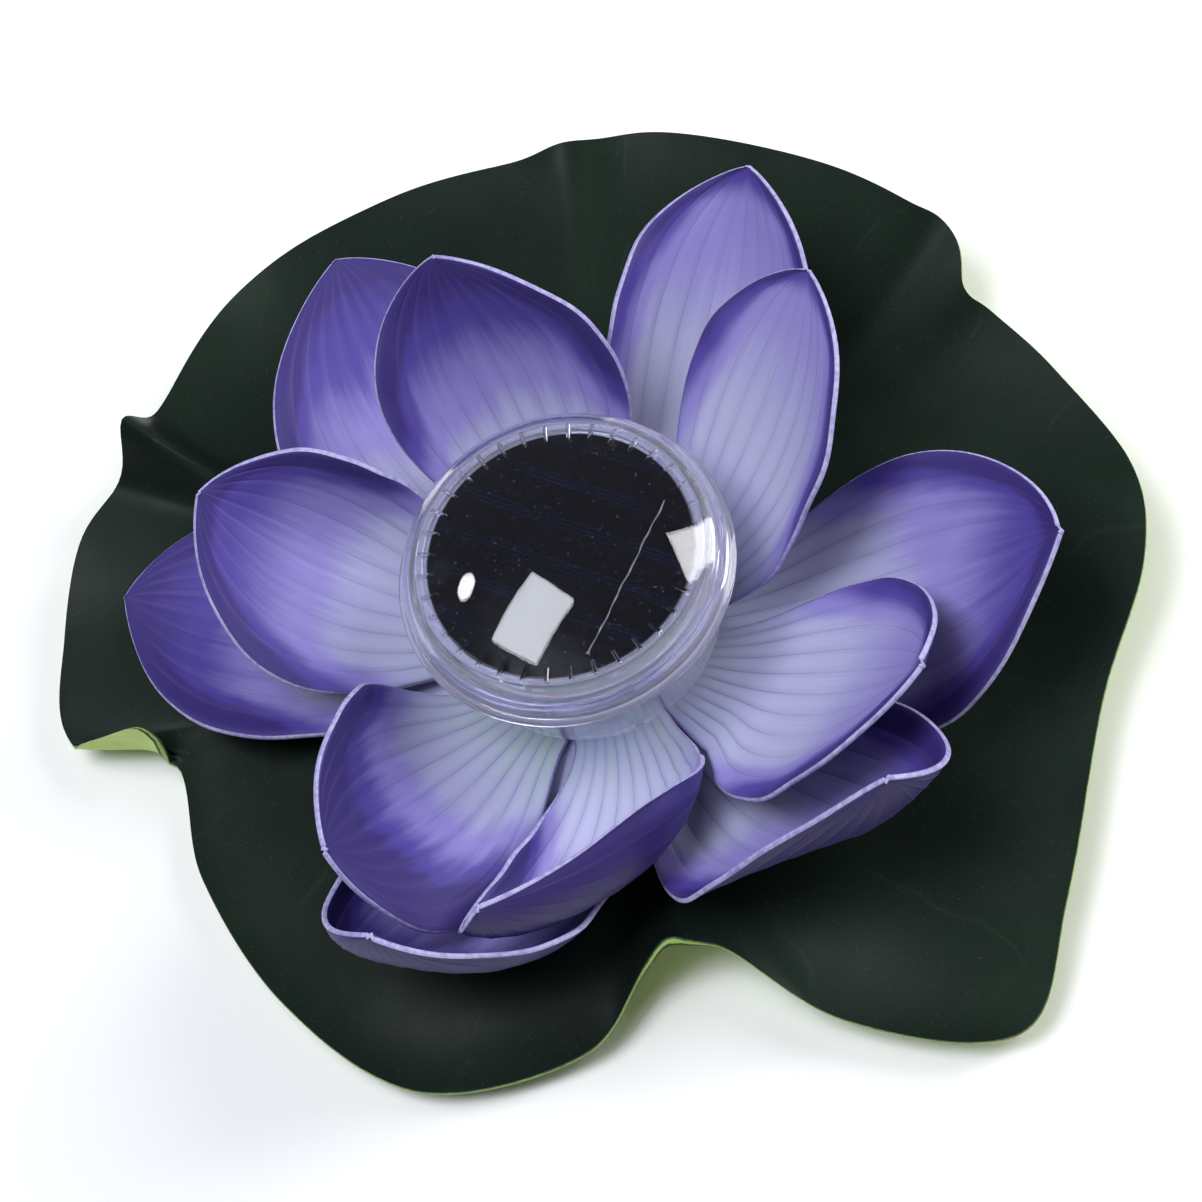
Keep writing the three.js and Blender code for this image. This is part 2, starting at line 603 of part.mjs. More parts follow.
function buildLeads(boardTop, switchTop) {
  const under = PANEL_Z - GAP - LEAD_RADIUS;
  const top = boardTop + LEAD_RADIUS;
  const end = switchTop + GAP;
  for (const side of [1, -1]) {
    const look = side > 0 ? "red_lead" : "black_lead";
    const down = [
      [side * 4, -3, under - 1], [side * 7, -12, under - 9],
      [side * 8, -17, top + 12], [side * 5, -14, top],
    ];
    lead(side > 0 ? "panel_lead_red" : "panel_lead_black", down, look);
    const up = [
      [side * 2.5, -4, end], [side * 3, -5, end + 4],
      [side * 3, -8.4, end + 12], [side * 3, -12.5, top + 1.2],
    ];
    lead(side > 0 ? "switch_lead_1" : "switch_lead_2", up, look);
  }
}

function buildCellLeads(boardTop) {
  const top = boardTop + LEAD_RADIUS;
  const end = CELL_LENGTH / 2 + 0.9;
  [["battery_lead_red", 1, "red_lead"], ["battery_lead_black", -1, "black_lead"]].forEach(
    ([name, side, look]) => {
      const points = [
        [side * end, CELL_Y - 5, CELL_Z - 2], [side * (end - 0.4), CELL_Y - 8, CELL_Z - 4],
        [side * 18, -9, top + 2.5], [side * 13.5, -13, top + 0.2],
      ];
      lead(name, points, look);
    },
  );
}

buildNut();
buildPad();
buildPetals();
buildBowl();
buildCap();
buildPanel();
const boardTop = buildBoard();
buildCell();
const switchTop = buildSwitch();
buildLeads(boardTop, switchTop);
buildCellLeads(boardTop);
for (const mesh of light.children) mesh.geometry.translate(LAMP_X, LAMP_Y, 0);

export default light;
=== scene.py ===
import math

import bmesh
import bpy
import numpy as np
from mathutils import Matrix, Vector


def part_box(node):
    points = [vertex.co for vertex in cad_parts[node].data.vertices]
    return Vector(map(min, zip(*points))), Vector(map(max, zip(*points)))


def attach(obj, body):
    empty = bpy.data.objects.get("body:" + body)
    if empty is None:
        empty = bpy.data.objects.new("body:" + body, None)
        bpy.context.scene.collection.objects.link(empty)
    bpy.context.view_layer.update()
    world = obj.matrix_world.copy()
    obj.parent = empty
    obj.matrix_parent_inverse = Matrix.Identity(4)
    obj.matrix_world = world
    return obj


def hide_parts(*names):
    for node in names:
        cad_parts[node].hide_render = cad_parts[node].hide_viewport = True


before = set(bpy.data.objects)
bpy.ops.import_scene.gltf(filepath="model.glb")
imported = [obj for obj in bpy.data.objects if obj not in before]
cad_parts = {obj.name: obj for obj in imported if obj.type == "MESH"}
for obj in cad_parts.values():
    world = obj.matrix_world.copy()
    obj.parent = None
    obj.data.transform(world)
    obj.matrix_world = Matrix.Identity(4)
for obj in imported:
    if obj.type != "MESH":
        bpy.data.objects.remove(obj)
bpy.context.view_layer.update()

# A floating solar pool light: foam water lily, foam lily pad and a clear screw-together lamp.
# Shapes are worked out in millimetres round the lamp's axis and moved into the frame, in
# metres, when a mesh is made.
MM = 0.001
PANEL_LOW, PANEL_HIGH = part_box("solar_panel")
AXIS = Vector(((PANEL_LOW.x + PANEL_HIGH.x) / 2, (PANEL_LOW.y + PANEL_HIGH.y) / 2, 0))


def heights(node):
    """Lowest and highest point of a CAD node, in millimetres."""
    low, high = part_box(node)
    return low.z / MM, high.z / MM


def radius_of(node):
    """Half of a CAD node's width, in millimetres."""
    low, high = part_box(node)
    return (high.x - low.x) / 2 / MM


def add_object(name, data):
    made = bpy.data.objects.new(name, data)
    bpy.context.scene.collection.objects.link(made)
    return made


def placed(at, right, up, back):
    """The matrix of a camera or lamp at a point in metres that looks along -back."""
    return Matrix.Translation(at) @ Matrix((right, up, back)).transposed().to_4x4()


# -------- camera
# The view is from the -Y side, from above, with the horizon rolled.
VIEW_ELEVATION = math.radians(61.5)
VIEW_ROLL = math.radians(25.1)
VIEW_DISTANCE = 560  # from the lamp's axis at VIEW_TARGET_Z
VIEW_TARGET_Z = 62.5
VIEW_SLIDE = (9.7, -10.75)  # how far the lens sits to the right of the lamp and above it
VIEW_LENS = 70.3


def make_camera():
    back = Vector((0, -math.cos(VIEW_ELEVATION), math.sin(VIEW_ELEVATION)))
    level = Vector((1, 0, 0))
    upright = back.cross(level)
    right = level * math.cos(VIEW_ROLL) - upright * math.sin(VIEW_ROLL)
    up = level * math.sin(VIEW_ROLL) + upright * math.cos(VIEW_ROLL)
    place = Vector((0, 0, VIEW_TARGET_Z)) + back * VIEW_DISTANCE
    place += right * VIEW_SLIDE[0] + up * VIEW_SLIDE[1]
    camera = add_object("camera", bpy.data.cameras.new("camera"))
    camera.matrix_world = placed(AXIS + place * MM, right, up, back)
    camera.data.lens = VIEW_LENS
    camera.data.sensor_width = 36
    camera.data.clip_start = 0.01
    camera.data.clip_end = 50
    bpy.context.scene.camera = camera


# -------- meshes
def make_piece(name, points, faces, materials, face_materials=None, uvs=None, smooth=True):
    """A mesh from points in millimetres round the lamp's axis. uvs is one (u, v) a point."""
    mesh = bpy.data.meshes.new(name)
    metres = np.asarray(points, float).reshape(-1, 3) * MM + np.array(AXIS)
    mesh.from_pydata(metres.tolist(), [], faces)
    for material in materials:
        mesh.materials.append(material)
    if face_materials is not None:
        mesh.polygons.foreach_set("material_index", np.asarray(face_materials, np.int32))
    if uvs is not None:
        layer = mesh.uv_layers.new(name="UVMap")
        corner = np.zeros(len(mesh.loops), np.int32)
        mesh.loops.foreach_get("vertex_index", corner)
        layer.data.foreach_set("uv", np.asarray(uvs, np.float32)[corner].ravel())
    mesh.polygons.foreach_set("use_smooth", [smooth] * len(mesh.polygons))
    mesh.update()
    return add_object(name, mesh)


def sharpen(piece, degrees=35):
    """Shades smooth except over edges sharper than this."""
    piece.data.set_sharp_from_angle(angle=math.radians(degrees))


def grid_faces(rows, columns, wrap_rows=False, wrap_columns=False, flip=False, start=0):
    faces = []
    for i in range(rows if wrap_rows else rows - 1):
        for j in range(columns if wrap_columns else columns - 1):
            a = start + i * columns + j
            b = start + i * columns + (j + 1) % columns
            c = start + (i + 1) % rows * columns + (j + 1) % columns
            d = start + (i + 1) % rows * columns + j
            faces.append((a, d, c, b) if flip else (a, b, c, d))
    return faces


def spline(controls, steps):
    """A closed smooth curve through rows of numbers, with steps points in each span."""
    controls = np.asarray(controls, float)
    before = np.roll(controls, 1, 0)
    after = np.roll(controls, -1, 0)
    beyond = np.roll(controls, -2, 0)
    t = (np.arange(steps) / steps)[None, :, None]
    p0, p1, p2, p3 = (x[:, None, :] for x in (before, controls, after, beyond))
    curve = 0.5 * (
        2 * p1
        + (p2 - p0) * t
        + (2 * p0 - 5 * p1 + 4 * p2 - p3) * t**2
        + (3 * p1 - p0 - 3 * p2 + p3) * t**3
    )
    return curve.reshape(-1, controls.shape[1])


def smoothstep(low, high, x):
    t = np.clip((np.asarray(x, float) - low) / (high - low), 0, 1)
    return t * t * (3 - 2 * t)


# -------- material helpers
class Nodes:
    """A material's node tree, with short ways to add nodes to it."""

    def __init__(self, name):
        self.material = bpy.data.materials.new(name)
        self.material.use_nodes = True
        self.tree = self.material.node_tree
        self.tree.nodes.clear()
        self.output = self.add("OutputMaterial")
        self.shader = self.add("BsdfPrincipled")
        self.join(self.shader.outputs[0], self.output.inputs[0])

    def join(self, source, target):
        self.tree.links.new(source, target)

    def feed(self, socket, value):
        if isinstance(value, bpy.types.NodeSocket):
            self.join(value, socket)
        elif isinstance(value, tuple) and socket.type == "RGBA":
            socket.default_value = (*value, 1)
        else:
            socket.default_value = value

    def add(self, kind, inputs=(), **settings):
        """A new node with these settings, its input sockets fed by name or number."""
        node = self.tree.nodes.new("ShaderNode" + kind)
        for name, value in settings.items():
            setattr(node, name, value)
        for key, value in dict(inputs).items():
            self.feed(node.inputs[key], value)
        return node

    def set(self, **values):
        """Sets the shader's sockets by name, with _ for a space."""
        for name, value in values.items():
            self.feed(self.shader.inputs[name.replace("_", " ")], value)

    def math(self, operation, *values):
        return self.add("Math", enumerate(values), operation=operation).outputs[0]

    def chain(self, operation, values, clamp):
        """values joined in turn by operation. clamp keeps the result from 0 to 1."""
        result = values[0]
        for value in values[1:]:
            result = self.math(operation, result, value)
        result.node.use_clamp = clamp
        return result

    def plus(self, *values, clamp=False):
        return self.chain("ADD", values, clamp)

    def times(self, *values, clamp=False):
        return self.chain("MULTIPLY", values, clamp)

    def minus(self, first, second):
        return self.math("SUBTRACT", first, second)

    def swing(self, value, amount):
        """A value from 0 to 1 moved to lie round 0, amount wide."""
        return self.times(self.minus(value, 0.5), amount)

    def from_whole(self, value):
        """How far value is from the nearest whole number, with its sign."""
        return self.minus(value, self.math("ROUND", value))

    def span(self, value, low, high, to_low=0.0, to_high=1.0):
        """value eased from low..high to to_low..to_high."""
        inputs = enumerate((value, low, high, to_low, to_high))
        return self.add("MapRange", inputs, interpolation_type="SMOOTHSTEP").outputs[0]

    def mix(self, share, first, second):
        return self.add("Mix", {0: share, 6: first, 7: second}, data_type="RGBA").outputs[2]

    def coordinates(self, kind="Object"):
        return self.add("TexCoord").outputs[kind]

    def split(self, vector):
        return tuple(self.add("SeparateXYZ", {0: vector}).outputs)

    def combine(self, x, y, z=0.0):
        return self.add("CombineXYZ", enumerate((x, y, z))).outputs[0]

    def noise(self, vector, scale, detail=2.0, roughness=0.5):
        inputs = {"Vector": vector, "Scale": scale, "Detail": detail, "Roughness": roughness}
        return self.add("TexNoise", inputs).outputs[0]

    def grain(self, scale, detail=2.0, roughness=0.5):
        """Noise fixed to the object."""
        return self.noise(self.coordinates(), scale, detail, roughness)

    def cells(self, scale):
        """Distance to the walls of irregular cells fixed to the object."""
        inputs = {"Vector": self.coordinates(), "Scale": scale}
        return self.add("TexVoronoi", inputs, feature="DISTANCE_TO_EDGE").outputs[0]

    def ramp(self, value, stops):
        node = self.add("ValToRGB", {0: value})
        node.color_ramp.interpolation = "EASE"
        elements = node.color_ramp.elements
        while len(elements) < len(stops):
            elements.new(0.5)
        for element, (place, colour) in zip(elements, stops):
            element.position = place
            element.color = (*colour, 1)
        return node.outputs[0]

    def bump(self, height, strength, distance_mm):
        inputs = {"Strength": strength, "Distance": distance_mm * MM, "Height": height}
        self.join(self.add("Bump", inputs).outputs[0], self.shader.inputs["Normal"])


# -------- petals
FOAM = 2.3
GAP = 0.3  # clearance between pieces that touch
FOOT_RADIUS = 29  # where a petal leaves the clamped foot
FOOT_SHARE = 0.14  # of u that the foot takes, below 0
FOOT_WIDEST = math.radians(33)  # most of the whorl that one side of a foot takes
SEAM = 0.4  # how far a foot stays off its neighbour's
HOLE_RADIUS = 17.9
BASE_WIDTH = 0.42  # of a petal's full width, at its foot
WIDEST = 0.55  # u at the full width
RIM_THINNING = 0.42  # how much thinner the foam is pressed at a petal's rim
INNER = {"mid": 18.95, "length": 82, "width": 32.4, "tag": "inner"}
OUTER = {"mid": 16.05, "length": 102, "width": 35.4, "tag": "outer"}
EVEN = (0.8, 1)


def petal(whorl, azimuth, rise, cup, twist, bend, late=EVEN, green=0.2, dye=1.0, share=1.0):
    return {
        "whorl": whorl, "length": whorl["length"], "width": whorl["width"] * share,
        "azimuth": azimuth, "rise": rise, "cup": cup, "twist": twist, "bend": bend,
        "late": late, "green": green, "dye": dye,
    }


# Azimuth of the foot, rise of the midrib at foot and tip, cupping of the left and right sides
# in radians, twist and sideways bend, and how late the sides and midrib curl.
PETALS = [
    petal(INNER, 147, (20, 50), (0.25, 1.25), -15, -5, green=0.5, dye=0.8),
    petal(INNER, 83, (35, 60), (0.5, 0.5), -30, 5, green=0.1),
    petal(INNER, 9, (40, 40), (0.25, 0.75), -15, 15, green=0.1, dye=0.3),
    petal(INNER, -52, (15, 60), (0.25, 0.25), -10, 5, green=0.3, dye=0.3),
    petal(INNER, -99, (5, 85), (1.75, 2), 40, -25, (1.75, 1.5), 0.6, share=0.9),
    petal(INNER, -153, (15, 65), (-0.25, 1), -30, 5, green=1.0, dye=1.4),
    petal(OUTER, 153, (5, 0), (0.5, 0), -5, -5, green=0.1),
    petal(OUTER, 110, (5, 25), (0.5, 0.5), 5, -10, green=0.1),
    petal(OUTER, 39, (5, 45), (1.5, 0.75), -20, 5, green=0.1, dye=0.35),
    petal(OUTER, -25, (5, 50), (0.5, -0.25), -10, 0, dye=0.75),
    petal(OUTER, -74, (0, 95), (1, 0), -40, 10, (0.5, 1.5)),
    petal(OUTER, -132, (0, 105), (1, 1.75), 10, -5, (2, 2)),
]
for number, each in enumerate(PETALS):
    each["seed"] = number + 1


def share_feet(whorl):
    """Neighbouring petals share the foot sheet half way between them."""
    for i, one in enumerate(whorl):
        before = whorl[i - 1]
        after = whorl[(i + 1) % len(whorl)]
        to_before = (before["azimuth"] - one["azimuth"]) % 360
        to_after = (one["azimuth"] - after["azimuth"]) % 360
        one["left"] = min(math.radians(to_before) / 2, FOOT_WIDEST)
        one["right"] = min(math.radians(to_after) / 2, FOOT_WIDEST)


def half_width(u):
    grow = np.sin(np.clip(u / WIDEST, 0, 1) * math.pi / 2) ** 1.3
    t = np.clip((u - WIDEST) / (1 - WIDEST), 0, 1)
    taper = np.maximum((1 - t**2.1) ** 0.8, 0.02)
    return np.where(u < WIDEST, BASE_WIDTH + (1 - BASE_WIDTH) * grow, taper)


def midrib(one, u):
    """Radius, height and slope of a petal's midrib at each u."""
    low, high = (math.radians(a) for a in one["rise"])
    late = one["late"][1]
    steps = 400
    fine = np.linspace(0, 1, steps + 1)
    middle = (fine[1:] + fine[:-1]) / 2
    slope = low + (high - low) * middle**late
    step = one["length"] / steps
    out = FOOT_RADIUS + np.r_[0, np.cumsum(np.cos(slope) * step)]
    up = one["whorl"]["mid"] + np.r_[0, np.cumsum(np.sin(slope) * step)]
    return np.interp(u, fine, out), np.interp(u, fine, up), low + (high - low) * u**late


def turn_out(turn, out, sideways, z):
    """Points out along a bearing and sideways from it, at heights z."""
    x = out * np.cos(turn) - sideways * np.sin(turn)
    y = out * np.sin(turn) + sideways * np.cos(turn)
    return np.stack([x, y, z], -1)


def petal_points(one, u, v, lift):
    """Points of a petal at u from foot to tip and v from -1 to 1 across, lifted off its middle."""
    r, z, slope = midrib(one, u)
    turn = np.radians(one["azimuth"] + one["bend"] * u * u)
    side = np.where(v < 0, one["right"], one["left"])
    limit = r * np.tan(side) - SEAM + 40 * np.maximum(0, u - 0.2)
    full = half_width(u)
    half = np.minimum(one["width"] * full, limit)
    opened = np.where(u < WIDEST, np.maximum(full - BASE_WIDTH, 0) / (1 - BASE_WIDTH), full)
    cup = np.where(v < 0, one["cup"][1], one["cup"][0]) * opened
    late = one["late"][0]
    width = np.abs(v)
    across = np.zeros_like(u)
    up = np.zeros_like(u)
    steps = 12
    for k in range(steps):
        curl = cup * ((k + 0.5) / steps * width) ** late
        across += np.cos(curl) * half * width / steps
        up += np.sin(curl) * half * width / steps
    end = cup * width**late * np.sign(v)
    across = across * np.sign(v) - lift * np.sin(end)
    up = up + lift * np.cos(end)
    twist = math.radians(one["twist"]) * u**1.5
    sideways = across * np.cos(twist) - up * np.sin(twist)
    normal = across * np.sin(twist) + up * np.cos(twist)
    return turn_out(turn, r - normal * np.sin(slope), sideways, z + normal * np.cos(slope))


def foot_points(one, share, v, lift):
    """The clamped foot: share 0 at the hole, 1 where the petal starts."""
    r = HOLE_RADIUS + GAP + (FOOT_RADIUS - HOLE_RADIUS - GAP) * share
    turn = math.radians(one["azimuth"])
    side = np.where(v < 0, one["right"], one["left"])
    most = one["width"] * BASE_WIDTH
    width = v * np.minimum(r * np.tan(side) - SEAM, most)
    return turn_out(turn, r, width, one["whorl"]["mid"] + lift)


VEINS = 5  # pressed lines on each side of the midrib
VEIN_DEPTH = 0.2


def vein_line(u, v):
    """1 along the pressed lines of a petal and 0 between them."""
    place = v * VEINS
    gap = np.abs(place - np.round(place))
    return np.exp(-((gap / 0.11) ** 2)) * smoothstep(0.02, 0.12, u) * smoothstep(1.0, 0.9, u)


def ripple(one, u, v):
    """The uneven, hand-bent surface of the foam."""
    seed = one["seed"] * 7.31
    rim = np.abs(v) ** 3 * smoothstep(0.15, 0.5, u)
    wave = np.sin(u * 17 + seed) * 0.35 + np.sin(u * 31 + 2 * seed) * 0.18
    return wave * rim * np.sign(v) + 0.35 * np.sin(u * 7 + v * 2.5 + seed) * smoothstep(0.1, 0.4, u)


def petal_side(one, u, v, top):
    """One face of a petal, thinner towards its rim."""
    rim = np.maximum(np.abs(v), smoothstep(0.8, 1.0, u)) ** 4
    half = FOAM / 2 * (1 - RIM_THINNING * rim)
    lines = vein_line(u, v) * VEIN_DEPTH
    wave = ripple(one, u, v)
    lift = wave + (half - lines if top else -half - lines * 0.8)
    foot = u < 0
    points = petal_points(one, np.maximum(u, 0), v, np.where(foot, half if top else -half, lift))
    flat = foot_points(one, 1 + u / FOOT_SHARE, v, half if top else -half)
    return np.where(foot[..., None], flat, points)


def petal_grid():
    """u and v of a petal's points, closer together towards the tip."""
    along = np.r_[-FOOT_SHARE, -0.06, np.sin(np.linspace(0, 1, 64) * math.pi / 2) ** 1.15]
    across = np.sin(np.linspace(-1, 1, 97) * math.pi / 2 * 0.92) / math.sin(math.pi / 2 * 0.92)
    return np.meshgrid(along, across, indexing="ij")


def build_petal(one, name, materials):
    """Front and back faces joined by a rounded rim."""
    u, v = petal_grid()
    rows, columns = u.shape
    top = petal_side(one, u, v, True)
    under = petal_side(one, u, v, False)
    points = [top.reshape(-1, 3), under.reshape(-1, 3)]
    uvs = [np.stack([u, v / 2 + 0.5], -1).reshape(-1, 2)] * 2
    faces = grid_faces(rows, columns, flip=True)
    looks = [0] * len(faces) + [1] * len(faces)
    faces += grid_faces(rows, columns, start=rows * columns)
    numbers = np.arange(rows * columns).reshape(rows, columns)
    index = np.r_[numbers[:-1, 0], numbers[-1, :-1], numbers[:0:-1, -1], numbers[0, :0:-1]]
    upper, lower = top.reshape(-1, 3)[index], under.reshape(-1, 3)[index]
    middle = (upper + lower) / 2
    half = (upper - lower) / 2
    along = np.roll(middle, -1, 0) - np.roll(middle, 1, 0)
    out = np.cross(along, half)
    out /= np.maximum(np.linalg.norm(out, axis=1, keepdims=True), 1e-9)
    bulge = np.linalg.norm(half, axis=1, keepdims=True) * 0.45
    count = len(index)
    start = 2 * rows * columns
    rims = []
    for angle in (35, 0, -35):
        a = math.radians(angle)
        rims.append(middle + half * math.sin(a) * 1.5 + out * bulge * math.cos(a))
        uvs.append(uvs[0][index])
    points += rims
    chain = [index, *[start + k * count + np.arange(count) for k in range(3)]]
    chain.append(index + rows * columns)
    for first, second in zip(chain[:-1], chain[1:]):
        corners = (first, np.roll(first, -1), np.roll(second, -1), second)
        faces += np.stack(corners, -1).tolist()
    looks += [2] * (len(faces) - len(looks))
    return make_piece(
        name, np.concatenate(points), faces, materials, looks, np.concatenate(uvs)
    )


# -------- lily pad
# The rim is a smooth curve through these: azimuth in degrees, radius, height.
RIM = [
    (-35, 127, 16), (-20, 137, 20), (-9, 140, 20), (5, 135, 21), (15, 133, 21), (20, 134, 19),
    (26, 144, 22), (42, 151, 19), (60, 152, 23), (72, 149, 22), (90, 154, 20), (110, 155, 20),
    (124, 148, 21), (130, 143, 22), (135, 146, 20), (142, 150, 19), (152, 149, 15),
    (163, 146, 10), (168, 118, 9), (185, 119, 8), (205, 121, 7), (225, 122, 5), (245, 106, 8),
    (256, 86, 17), (266, 88, 19), (277, 117, 10), (290, 145, 6), (303, 135, 12),
]
# Where the rim's lip curls up and shows the pale underside: middle azimuth, half width in
# degrees, and how far it curls.
LIPS = [(166.2, 1.6, 14), (259, 6, 4)]
PAD_FOAM = 2.8
PAD_MID = 13.2
PAD_FLAT = 40  # radius up to which the pad is flat
PAD_RISE = 5  # how late it rises towards its rim
LIP_BEND = 3.0  # half the length of foam that bends where a lip curls up
LIP_LEAN = math.radians(98)
RIM_BULGE = 0.35  # how far the middle of the cut rim stands out
PAD_STATIONS = 560  # round the rim
PAD_ROWS = 72  # from hole to rim

# Folds that run in from the rim: azimuth, half width in degrees, height at the rim, and how
# fast they die away inwards.
FOLDS = [
    (130, 2.6, 17, 3.5), (71, 3.5, 4, 2.0), (27, 3.0, 3, 3.0), (-14, 9.0, 2.5, 2.0),
    (103, 8.0, 2.0, 2.0), (150, 8.0, -2.0, 2.0), (-70, 7.0, 2.5, 2.5), (215, 10.0, 1.5, 2.0),
]


def rim_stations():
    """The rim as evenly spaced rows of azimuth, radius, height and lip."""
    curve = spline([
        (r * math.cos(math.radians(a)), r * math.sin(math.radians(a)), z) for a, r, z in RIM
    ], 24)
    loop = np.vstack([curve, curve[:1]])
    steps = np.linalg.norm(np.diff(loop, axis=0), axis=1)
    travelled = np.r_[0, np.cumsum(steps)]
    places = np.linspace(0, travelled[-1], PAD_STATIONS + 1)[:-1]
    rows = np.stack([np.interp(places, travelled, loop[:, k]) for k in range(3)], -1)
    azimuth = np.unwrap(np.arctan2(rows[:, 1], rows[:, 0]))
    lip = np.zeros_like(azimuth)
    for middle, width, curl in LIPS:
        off = (np.degrees(azimuth) - middle + 180) % 360 - 180
        lip += curl * np.exp(-((off / width) ** 2))
    return azimuth, np.hypot(rows[:, 0], rows[:, 1]), rows[:, 2], np.where(lip > 0.05, lip, 0)


def pad_undulation(azimuth, r, rim_radius):
    share = np.clip((r - PAD_FLAT) / (rim_radius - PAD_FLAT), 0, 1.2)
    height = np.zeros_like(r)
    degrees = np.degrees(azimuth)
    for middle, width, rise, fade in FOLDS:
        off = (degrees - middle + 180) % 360 - 180
        height += rise * np.exp(-((off / width) ** 2)) * share**fade
    wave = np.sin(azimuth * 5 + 0.6) * 0.5 + np.sin(azimuth * 9 + 2.1 + share * 2) * 0.35
    return height + wave * share**2


def pad_sections():
    """Middle points and surface normals of the pad, stations by rows from hole to rim."""
    azimuth, radius, height, lip = rim_stations()
    share = np.sin(np.linspace(0, 1, PAD_ROWS) * math.pi / 2) ** 0.8
    flat = radius - HOLE_RADIUS
    total = flat + lip
    fine = 600
    s = np.linspace(0, 1, fine + 1)
    travelled = s[None, :] * total[:, None]
    bend = smoothstep(0, 1, (travelled - flat[:, None] + LIP_BEND) / (2 * LIP_BEND))
    curl = LIP_LEAN * bend * smoothstep(0.5, 6, lip)[:, None]
    step = total[:, None] / fine
    middle = (curl[:, 1:] + curl[:, :-1]) / 2
    start = np.zeros((len(radius), 1))
    out = HOLE_RADIUS + np.hstack([start, np.cumsum(np.cos(middle) * step, 1)])
    up = np.hstack([start, np.cumsum(np.sin(middle) * step, 1)])
    r = np.stack([np.interp(share, s, row) for row in out])
    rise = np.stack([np.interp(share, s, row) for row in up])
    angle = np.stack([np.interp(share, s, row) for row in curl])
    part = np.clip((r - PAD_FLAT) / (radius[:, None] - PAD_FLAT), 0, 1)
    z = PAD_MID + (height[:, None] - PAD_MID) * part**PAD_RISE + rise
    z += pad_undulation(azimuth[:, None] + r * 0, r, radius[:, None])
    return azimuth[:, None] + r * 0, r, z, angle, share


def build_pad(materials):
    azimuth, r, z, angle, share = pad_sections()
    rows, columns = r.shape
    half = PAD_FOAM / 2 * (1 - 0.25 * share**12)
    around = (np.arange(rows) / rows)[:, None] + r * 0
    points, uvs = [], []
    for side in (1, 0, -1):
        first = columns - 1 if side == 0 else 0
        bulge = RIM_BULGE if side == 0 else 0
        out = r - np.sin(angle) * half * side + np.cos(angle) * bulge
        rise = z + np.cos(angle) * half * side + np.sin(angle) * bulge
        layer = np.stack([out * np.cos(azimuth), out * np.sin(azimuth), rise], -1)
        points.append(layer[:, first:].reshape(-1, 3))
        level = 0.5 if side == 0 else share
        uvs.append(np.stack([around, level + r * 0], -1)[:, first:].reshape(-1, 2))
    top = grid_faces(rows, columns, wrap_rows=True, flip=True)
    under_start = rows * columns + rows
    under = grid_faces(rows, columns, wrap_rows=True, start=under_start)
    faces, looks = top + under, [0] * len(top) + [1] * len(under)
    for i in range(rows):
        n = (i + 1) % rows
        upper = [i * columns + columns - 1, n * columns + columns - 1]
        middle = [rows * columns + i, rows * columns + n]
        lower = [under_start + x for x in upper]
        faces.append((upper[0], middle[0], middle[1], upper[1]))
        faces.append((middle[0], lower[0], lower[1], middle[1]))
        hole = [i * columns, n * columns]
        faces.append((hole[1], under_start + hole[1], under_start + hole[0], hole[0]))
    looks += [2] * (len(faces) - len(looks))
    piece = make_piece(
        "lily_pad_leaf", np.concatenate(points), faces, materials, looks, np.concatenate(uvs)
    )
    sharpen(piece, 50)
    return piece


# -------- turned pieces
AROUND = 144  # stations round a turned piece


def turned(name, profile, materials, stations=AROUND, looks=None, at=(0, 0)):
    """A closed piece of revolution from (radius, height) points, anticlockwise. profile is a
    list, or a function of the angle that always gives the same number of points."""
    rows = []
    for i in range(stations):
        angle = 2 * math.pi * i / stations
        section = profile(angle) if callable(profile) else profile
        rows.append([
            (at[0] + r * math.cos(angle), at[1] + r * math.sin(angle), z) for r, z in section
        ])
    columns = len(rows[0])
    faces = grid_faces(stations, columns, wrap_rows=True, wrap_columns=True, flip=True)
    face_looks = None
    if looks is not None:
        face_looks = [looks[k % columns] for k in range(len(faces))]
    piece = make_piece(name, np.array(rows), faces, materials, face_looks)
    clean_axis(piece)
    sharpen(piece)
    return piece


def clean_axis(piece):
    """Merges the points that a profile leaves on the axis, and faces flattened by that."""
    mesh = bmesh.new()
    mesh.from_mesh(piece.data)
    bmesh.ops.remove_doubles(mesh, verts=mesh.verts, dist=1e-6)
    bmesh.ops.dissolve_degenerate(mesh, edges=mesh.edges, dist=1e-7)
    bmesh.ops.recalc_face_normals(mesh, faces=mesh.faces)
    mesh.to_mesh(piece.data)
    mesh.free()


def arc(centre, radius, start, end, steps):
    """Points along an arc in a profile, angles in degrees."""
    points = []
    for i in range(steps + 1):
        a = math.radians(start + (end - start) * i / steps)
        points.append((centre[0] + radius * math.cos(a), centre[1] + radius * math.sin(a)))
    return points


def thread(root, crest, pitch, turns, start, width):
    """A screw ridge on a straight wall, as profile points at each angle, lowest first."""
    def ridge(angle):
        points = []
        for wrap in range(math.ceil(turns)):
            along = (angle / (2 * math.pi) + wrap) / turns
            taper = min(1, max(0, 7 * min(along, 1 - along)))
            z = start + pitch * (angle / (2 * math.pi) + wrap)
            tip = root + (crest - root) * taper
            points += [
                (root, z - width / 2), (tip, z - width / 4), (tip, z + width / 4),
                (root, z + width / 2),
            ]
        return points
    return ridge


